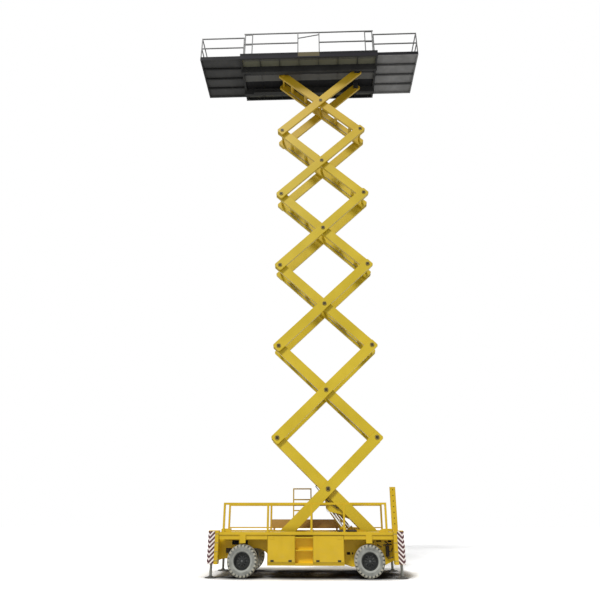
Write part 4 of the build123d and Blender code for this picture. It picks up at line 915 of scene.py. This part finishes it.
def tyre_grid(settings, rounds=14):
    """A tyre about the Y axis, and where its lugs are.

    r(a, t) and y(a, t) follow half a section of control points, pushed out along its normal by the lugs.
    A lug is where |R a - n pitch - slope |y|| is under half its width.
    """
    steps = np.concatenate(([0], np.cumsum(np.linalg.norm(np.diff(TYRE_SIDE, axis=0), axis=1))))
    t = np.concatenate((np.linspace(0, steps[5], 9)[:-1], np.linspace(steps[5], steps[-1], 30)))
    y, r = (np.interp(t, steps, column) for column in TYRE_SIDE.T)
    y, r = np.concatenate((y, -y[-2::-1])), np.concatenate((r, r[-2::-1]))
    normal = unit(np.stack((np.gradient(r), -np.gradient(y)), axis=-1))
    count = settings.lugs * rounds
    angle = np.arange(count) * 2 * np.pi / count
    pitch = 2 * np.pi / settings.lugs
    lean, lean_width, tread_radius, flank = 0.34, 0.14, 0.43, 0.010
    centre = np.where(y >= 0, 0.0, pitch / 2) + lean * np.minimum(np.abs(y), lean_width) / lean_width
    off = np.abs((angle[:, None] - centre + pitch / 2) % pitch - pitch / 2) * tread_radius
    half = settings.lug_width / 2 * (0.85 + 0.35 * np.abs(y) / 0.165)
    rise = np.clip((half + 0.006 - off) / flank, 0, 1)
    rise = rise * rise * (3 - 2 * rise)
    rise *= np.clip((np.abs(y) - 0.004) / 0.010, 0, 1) * np.clip((r - 0.362) / 0.016, 0, 1)
    lift = rise * settings.lug_height * np.clip((r - 0.30) / 0.10, 0.35, 1.0)
    ys = np.clip(y + normal[:, 0] * lift, -TYRE_HALF_WIDTH, TYRE_HALF_WIDTH)
    rs = r + normal[:, 1] * lift
    # two more rings close the section along its seat on the rim
    ys = np.concatenate((ys, np.broadcast_to(np.linspace(-0.125, 0.125, 4)[1:-1], (count, 2))), axis=1)
    rs = np.concatenate((rs, np.full((count, 2), 0.2412)), axis=1)
    mark = np.concatenate((rise, np.zeros((count, 2))), axis=1)
    return np.stack((rs * np.cos(angle)[:, None], ys, rs * np.sin(angle)[:, None]), axis=-1), mark


class LIFT_OT_make_tyres(bpy.types.Operator):
    """Makes the four lugged tyres in place of the plain ones"""
    bl_idname = "scissor_lift.make_tyres"
    bl_label = "Tyres"

    def execute(self, context):
        settings = context.scene.lift_wheels
        finish = rubber_finish(settings)
        grid, mark = (np.concatenate((rows, rows[:1])) for rows in tyre_grid(settings))
        for name, middle in WHEELS.items():
            # the lugs point forwards at the top on both sides, so the far tyres are turned round
            placed = grid * (1.0, -np.sign(middle[1]), 1.0) + middle
            piece = mesh_from(
                f"{name}_lugged_tyre", [placed], f"{name}_wheel", finish, 35.0, mark.astype(np.float32),
            )
            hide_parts(f"{name}_tyre")
        return {"FINISHED"}


class LIFT_OT_make_wheel_nuts(bpy.types.Operator):
    """Makes the wheel nuts, hub bolts, cap and valve of each wheel, and the lining behind its hand holes"""
    bl_idname = "scissor_lift.make_wheel_nuts"
    bl_label = "Wheel nuts"

    def execute(self, context):
        nuts = context.scene.lift_wheels.nuts
        angles = np.arange(nuts) * 2 * np.pi / nuts
        for name, middle in WHEELS.items():
            axis = np.sign(middle[1]) * ALONG_Y
            disc = middle + axis * DISC_FACE
            grids = bolt_circle(disc, axis, NUT_CIRCLE, angles, 0.024)
            grids += bolt_circle(middle + axis * HUB_FACE, axis, HUB_CIRCLE, angles, 0.014)
            grids.append(turned(HUB_CAP, middle + axis * CAP_FACE, axis))
            grids.append(turned(RIM_LINING, disc, axis, 48))
            grids.append(turned(VALVE, disc + spoke(0.3) * VALVE_CIRCLE, axis, 10))
            mesh_from(f"{name}_wheel_nuts", grids, f"{name}_wheel", plain_paint("nut_grey"))
        return {"FINISHED"}


class LIFT_OT_make_pin_fittings(bpy.types.Operator):
    """Makes the bolts, caps and grease nipples on the scissor's pin collars"""
    bl_idname = "scissor_lift.make_pin_fittings"
    bl_label = "Pin fittings"

    def execute(self, context):
        for level in range(LEVELS):
            low = LOWER_PIN[2] + level * RISE
            pins = [(CENTRE_PIN[0], low + RISE / 2)]
            if level:
                pins.append((LEFT_PIN_X, low))
            if level < LEVELS - 1:
                pins.append((LOWER_PIN[0], low + RISE))
            grids = []
            for x, z in pins:
                for axis in OUTWARDS:
                    middle = np.array((x, 0.0, z))
                    collar = middle + axis * COLLAR_FACE
                    grids += bolt_circle(collar, axis, COLLAR_CIRCLE, (0.8, 2.37, 3.94, 5.51), 0.015)
                    grids.append(turned(NIPPLE, middle + axis * PIN_END, axis, 12))
            arm = f"outer_arm_{level + 1}"
            mesh_from(f"{arm}_pin_bolts", grids, arm, plain_paint("greased_steel"))
        return {"FINISHED"}


def arm_frame(level):
    """An inner arm's own directions: its lower pin, along the arm, and upwards across it."""
    way = unit((CENTRE_PIN - LOWER_PIN) * (1.0, 0.0, 1.0))
    return LOWER_PIN + UP * RISE * level, way, np.array((way[2], 0.0, -way[0]))


class LIFT_OT_make_arm_pipes(bpy.types.Operator):
    """Makes the pipes and clips along the inner arms' inner faces and the hose under the first arm"""
    bl_idname = "scissor_lift.make_arm_pipes"
    bl_label = "Arm pipes"

    def execute(self, context):
        radius = context.scene.lift_fittings.pipe_radius
        black = plain_paint("pipe_black")
        kinds = (  # side, places across the arm, finish and name
            (-1.0, (-0.10, -0.06), black, "pipes"), (1.0, (-0.08,), plain_paint("conduit_grey"), "conduit"),
        )
        for level in range(LEVELS):
            body = f"inner_arm_{level + 1}"
            for half in (0, 1):
                begin, end = (at + half * UPPER_RUN for at in PIPE_RUN)
                for side, rises, finish, word in kinds:
                    grids = self.along_arm(level, side, rises, begin, end, radius)
                    mesh_from(f"{body}_{word}_{half + 1}", grids, body, finish)
        foot, way, over = arm_frame(0)
        points = [
            foot + HOSE_Y * ALONG_Y + way * (ARM_LENGTH / 2 + along) - over * (ARM_DEPTH / 2 + down)
            for along, down in FIRST_HOSE
        ]
        mesh_from("first_arm_hose", [pipe(points, 0.014, 0.2, 14)], "inner_arm_1", black)
        return {"FINISHED"}

    def along_arm(self, level, side, rises, begin, end, radius):
        """Pipes along an arm's inner face, both ends led into it, and the four clips that hold them."""
        foot, way, over = arm_frame(level)
        wall, clear = side * (INNER_Y[0] + 0.003) * ALONG_Y, side * (INNER_Y[0] - radius - 0.004) * ALONG_Y
        path = np.array([
            foot + out + way * s for out, s in ((wall, begin), (clear, begin), (clear, end), (wall, end))
        ])
        grids = [pipe(path + over * rise, radius, 0.03) for rise in rises]
        tall = max(rises) - min(rises) + 4 * radius
        face = foot + side * INNER_Y[0] * ALONG_Y + over * sum(rises) / len(rises)
        for s in np.linspace(begin + CLIP_INSET, end - CLIP_INSET, 4):
            at = face + way * s
            grids.append(bar(at, at - side * 2.6 * radius * ALONG_Y, tall, 0.036, way, 0.002, 0.004))
        return grids


class LIFT_OT_make_recesses(bpy.types.Operator):
    """Makes black sheets of painted shade behind the girders' openings and in the guide post's core, the
    manifold blocks and bars with two strips of painted shade, and their hoses
    """
    bl_idname = "scissor_lift.make_recesses"
    bl_label = "Recess linings"

    def execute(self, context):
        black = plain_paint("painted_shade_black")
        shade_sheets = []
        # black sheets behind the girders' openings: painted shade
        for left, right, low, high in GIRDER_OPENINGS:
            for side in BOTH:
                middle = on_chassis(((left + right) / 2, side * SHADE_SHEET_Y, (low + high) / 2))
                half = ((right - left) / 2 + 0.008) * ALONG_X
                tall = high - low + 0.016
                shade_sheets.append(bar(middle - half, middle + half, 0.004, tall, UP, 0.001, 0.001))
        mesh_from("girder_shade_sheets", shade_sheets, "chassis", black)
        # near-black core in the guide post: painted shade
        mesh_from("guide_post_shade_core", [bar(*on_chassis(POST_CORE), 0.060, 0.066, ALONG_Y)], "chassis", black)
        parts = [bar(*on_chassis((start, end)), *rest) for start, end, *rest in MANIFOLD_AND_SHADE_BARS]
        parts += [turned(HOSE_PORT, place, -ALONG_Y, 16) for place in on_chassis(MANIFOLD_PORTS)]
        mesh_from("manifolds_and_shade_strips", parts, "chassis", plain_paint("oily_steel_and_shade"))
        hoses = [pipe(on_chassis(points), radius, bend) for points, radius, bend in MANIFOLD_HOSES]
        mesh_from("manifold_hoses", hoses, "chassis", plain_paint("pipe_black"))
        return {"FINISHED"}


class LIFT_OT_make_chassis_bolts(bpy.types.Operator):
    """Makes the guard frames' bolted feet and the bolts of the jack columns and of the cylinders' ears"""
    bl_idname = "scissor_lift.make_chassis_bolts"
    bl_label = "Chassis bolts"

    def execute(self, context):
        size = context.scene.lift_fittings.bolt_size
        feet, bolts = [], []
        for side, posts in GUARD_POSTS.items():
            for post in posts:
                for way in BOTH:
                    foot = on_chassis((post + way * 0.052, side * GUARD_Y, DECK_TOP))
                    top = foot + UP * 0.009
                    feet.append(bar(foot - UP * 0.001, top, 0.040, 0.062, ALONG_Y, 0.002, 0.006))
                    bolts += bolt(top + way * 0.002 * ALONG_X, UP, size * 0.55, post)
        for edge, inward in ((PLATES[0][0], 1.0), (PLATES[1][0], -1.0)):
            for side in BOTH:
                for z in JACK_BOLTS_Z:
                    for reach in JACK_BOLTS_IN:
                        spot = (edge + inward * reach, side * JACK_FACE, z)
                        bolts += bolt(spot, side * ALONG_Y, size * 0.6, z)
        for pin in ROD_FOOT.values():
            for axis in OUTWARDS:
                bolts += bolt_circle(pin + axis * EAR_FACE, axis, 0.062, (0.5, 2.1, 3.7, 5.3), size * 0.5)
        mesh_from("guard_frame_feet", feet, "chassis", bpy.data.materials["chassis_paint"])
        mesh_from("chassis_bolts", bolts, "chassis", fitting_steel(context))
        return {"FINISHED"}


class LIFT_OT_make_axle_parts(bpy.types.Operator):
    """Makes the steering cylinder, the knuckle arms and the bolted covers of the axles' housings"""
    bl_idname = "scissor_lift.make_axle_parts"
    bl_label = "Axle parts"

    def execute(self, context):
        cast, steel = bpy.data.materials["cast_dark"], fitting_steel(context)
        barrel = np.array((RIGHT_AXLE_X + 0.165, 0.0, AXLE_Z))
        castings, bolts = [turned(STEER_BARREL, barrel, ALONG_Y, 28)], []
        for axis in OUTWARDS:
            foot = barrel + axis * 0.18
            castings.append(bar(foot - ALONG_X * 0.095, foot, 0.05, 0.06, UP))
            bolts += [turned(STEER_ROD, barrel, axis, 16), turned(ROD_HEAD, barrel, axis, 20)]
        for x in (LEFT_AXLE_X, RIGHT_AXLE_X):
            middle = np.array((x, 0.0, AXLE_Z))
            for axis in OUTWARDS:
                castings.append(turned(AXLE_COVER, middle + axis * 0.110, axis, 32))
                bolts += bolt_circle(middle + axis * 0.122, axis, 0.098, np.arange(8) * np.pi / 4, 0.016)
        mesh_from("axle_castings", castings, "chassis", cast)
        mesh_from("axle_bolts", bolts, "chassis", steel)
        for word, side in zip(("near", "far"), BOTH):
            pin = joint_at(f"{word}_steer")
            root, tip = pin + (0.055, -side * 0.010, 0.0), pin + (0.165, -side * 0.035, 0.0)
            arm = [bar(root, tip, 0.045, 0.030, UP), turned(KNUCKLE_EYE, tip, UP, 20)]
            mesh_from(f"{word}_knuckle_arm", arm, f"{word}_knuckle", cast)
        return {"FINISHED"}


class LIFT_OT_make_engine_parts(bpy.types.Operator):
    """Makes the engine's ribs, cover and filter inside the far cabinet"""
    bl_idname = "scissor_lift.make_engine_parts"
    bl_label = "Engine parts"

    def execute(self, context):
        low, high = (np.array(corner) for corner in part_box("engine_block"))
        y = high[1] - 0.002
        castings = [
            bar((x, y, low[2] + 0.12), (x, y, high[2] - 0.10), 0.014, 0.022, ALONG_Y, 0.003)
            for x in np.linspace(low[0] + 0.08, high[0] - 0.08, 9)
        ]
        y, z = (low[1] + high[1]) / 2, high[2] + 0.035
        castings.append(bar((low[0] + 0.10, y, z), (high[0] - 0.10, y, z), 0.18, 0.07, UP, 0.012, 0.02))
        mesh_from("engine_castings", castings, "chassis", bpy.data.materials["cast_dark"])
        drum = turned(OIL_FILTER, (low[0] + 0.16, high[1], low[2] + 0.20), ALONG_Y, 20)
        mesh_from("engine_filter", [drum], "chassis", plain_paint("filter_white"))
        return {"FINISHED"}


class LIFT_OT_make_platform_parts(bpy.types.Operator):
    """Makes the rail posts' bolts, the sleeves' clamp screws and the pipes under the platform"""
    bl_idname = "scissor_lift.make_platform_parts"
    bl_label = "Platform parts"

    def execute(self, context):
        low, high = (np.array(corner) for corner in MAIN_DECK)
        rail_y, rail_z = tuple(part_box("main_rails")[1])[1:]
        feet = [
            (x, rail_y - 0.040, high[2] + rise, 0.014, rise)
            for x in (*SLEEVED, -GATE_X, GATE_X) for rise in (0.045, 0.110)
        ]
        clamps = [
            (x, rail_y - 0.052, z, 0.018, z)
            for x in SLEEVED for z in ((high[2] + rail_z) / 2 - 0.03, rail_z - 0.03)
        ]
        bolts = []
        for x, y, z, size, turn in feet + clamps:
            for side in BOTH:
                bolts += bolt((x, side * y, z), -side * ALONG_Y, size, turn)
        mesh_from("rail_bolts", bolts, "platform", fitting_steel(context))
        left, right, under = low[0] + 0.15, high[0] - 0.15, TOP_PIN_Z + 0.120
        line = ((left, under + 0.03), (left, under), (right, under), (right, under + 0.03))
        pipes = [pipe([(x, y, z) for x, z in line], 0.008, 0.02) for y in (-1.16, -1.12)]
        mesh_from("deck_pipes", pipes, "platform", plain_paint("pipe_black"))
        return {"FINISHED"}


class LIFT_OT_set_stage(bpy.types.Operator):
    """Sets the pale floor with a painted shadow under the machine, the even light, the soft main light and
    the camera
    """
    bl_idname = "scissor_lift.set_stage"
    bl_label = "Stage"

    def execute(self, context):
        scene, stage = context.scene, context.scene.lift_stage
        scene.view_settings.view_transform = "Standard"
        scene.world = bpy.data.worlds.new("even_light")
        scene.world.use_nodes = True
        scene.world.node_tree.nodes.clear()
        sky = Nodes(scene.world.node_tree)
        plain, white = (
            sky.add("ShaderNodeBackground", None, {"Color": (1.0, 1.0, 1.0), "Strength": strength})
            for strength in (stage.sky, 1.0)
        )
        both = sky.add("ShaderNodeMixShader", None, {0: self.seen(sky), 1: plain, 2: white})
        sky.add("ShaderNodeOutputWorld", None, {"Surface": both}, None)

        floor = mesh_from("floor", [self.floor_grid()], None, self.floor_finish(stage))

        sun = bpy.data.lights.new("key", "SUN")
        sun.angle = math.radians(14.0)
        sun.energy = stage.key
        key = bpy.data.objects.new("key", sun)
        scene.collection.objects.link(key)
        key.location = stage.key_place
        way = mathutils.Vector((0.0, 0.0, 9.0)) - key.location
        key.rotation_euler = way.to_track_quat("-Z", "Y").to_euler()

        lens = bpy.data.cameras.new("camera")
        lens.sensor_width = 36.0
        lens.lens = stage.lens
        lens.clip_end = 300.0
        camera = bpy.data.objects.new("camera", lens)
        scene.collection.objects.link(camera)
        camera.location = stage.camera
        camera.rotation_euler = (math.pi / 2 + stage.pitch, 0.0, stage.yaw)
        scene.camera = camera
        return {"FINISHED"}

    def seen(self, nodes):
        """1 for rays from the camera and for rays that metal or glass sends out, else 0."""
        path = nodes.add("ShaderNodeLightPath").socket.node
        names = ("Is Camera Ray", "Is Glossy Ray", "Is Transmission Ray")
        return reduce(Number.higher, (Number(nodes, path.outputs[name]) for name in names))

    def floor_grid(self, half=60.0):
        """A flat sheet: P(0, j) is the middle and P(1, j) = (x_j, y_j, 0) is a square's corner."""
        square = np.array(((-half, -half, 0.0), (half, -half, 0.0), (half, half, 0.0), (-half, half, 0.0)))
        return np.stack((np.zeros((4, 3)), square))

    def floor_finish(self, stage):
        """Pale, with a painted shadow: dark to the camera close under the machine."""
        floor = Finish("pale_floor", Roughness=0.9, Specular_IOR_Level=0.0)
        open_sky = floor.add("ShaderNodeAmbientOcclusion", {"samples": 16}, {"Distance": 1.25}, "AO")
        seen = floor.mix(open_sky.between(0.50, 0.92), stage.shadow_colour, stage.seen_floor)
        return floor.set(Base_Color=floor.mix(self.seen(floor), stage.floor_colour, seen))


OPERATORS = (
    LIFT_OT_paint_chassis, LIFT_OT_paint_arms, LIFT_OT_paint_platform, LIFT_OT_finish_steel,
    LIFT_OT_stripe_plates, LIFT_OT_make_tyres, LIFT_OT_make_wheel_nuts, LIFT_OT_make_pin_fittings,
    LIFT_OT_make_arm_pipes, LIFT_OT_make_recesses, LIFT_OT_make_chassis_bolts, LIFT_OT_make_axle_parts,
    LIFT_OT_make_engine_parts, LIFT_OT_make_platform_parts, LIFT_OT_set_stage,
)
SETTINGS = {
    "lift_paint": PaintSettings, "lift_platform": PlatformSettings, "lift_wheels": WheelSettings,
    "lift_fittings": FittingSettings, "lift_stage": StageSettings,
}


class LIFT_PT_dressing(bpy.types.Panel):
    """Lists the lift's settings and the operators that dress it"""
    bl_idname = "LIFT_PT_dressing"
    bl_label = "Scissor Lift"
    bl_space_type = "VIEW_3D"
    bl_region_type = "UI"
    bl_category = "Scissor Lift"

    def draw(self, context):
        layout = self.layout
        for attribute, kind in SETTINGS.items():
            box = layout.box()
            box.label(text=kind.__doc__.split(".")[0])
            for name in kind.__annotations__:
                box.prop(getattr(context.scene, attribute), name)
        for operator in OPERATORS:
            layout.operator(operator.bl_idname)


def register():
    for kind in (*SETTINGS.values(), *OPERATORS, LIFT_PT_dressing):
        bpy.utils.register_class(kind)
    for attribute, kind in SETTINGS.items():
        setattr(bpy.types.Scene, attribute, PointerProperty(type=kind))


def unregister():
    for attribute in SETTINGS:
        delattr(bpy.types.Scene, attribute)
    for kind in (LIFT_PT_dressing, *reversed(OPERATORS), *reversed(tuple(SETTINGS.values()))):
        bpy.utils.unregister_class(kind)


def main():
    register()
    for operator in OPERATORS:
        group, name = operator.bl_idname.split(".")
        getattr(getattr(bpy.ops, group), name)()
    bpy.context.view_layer.update()


if __name__ == "__main__":
    main()
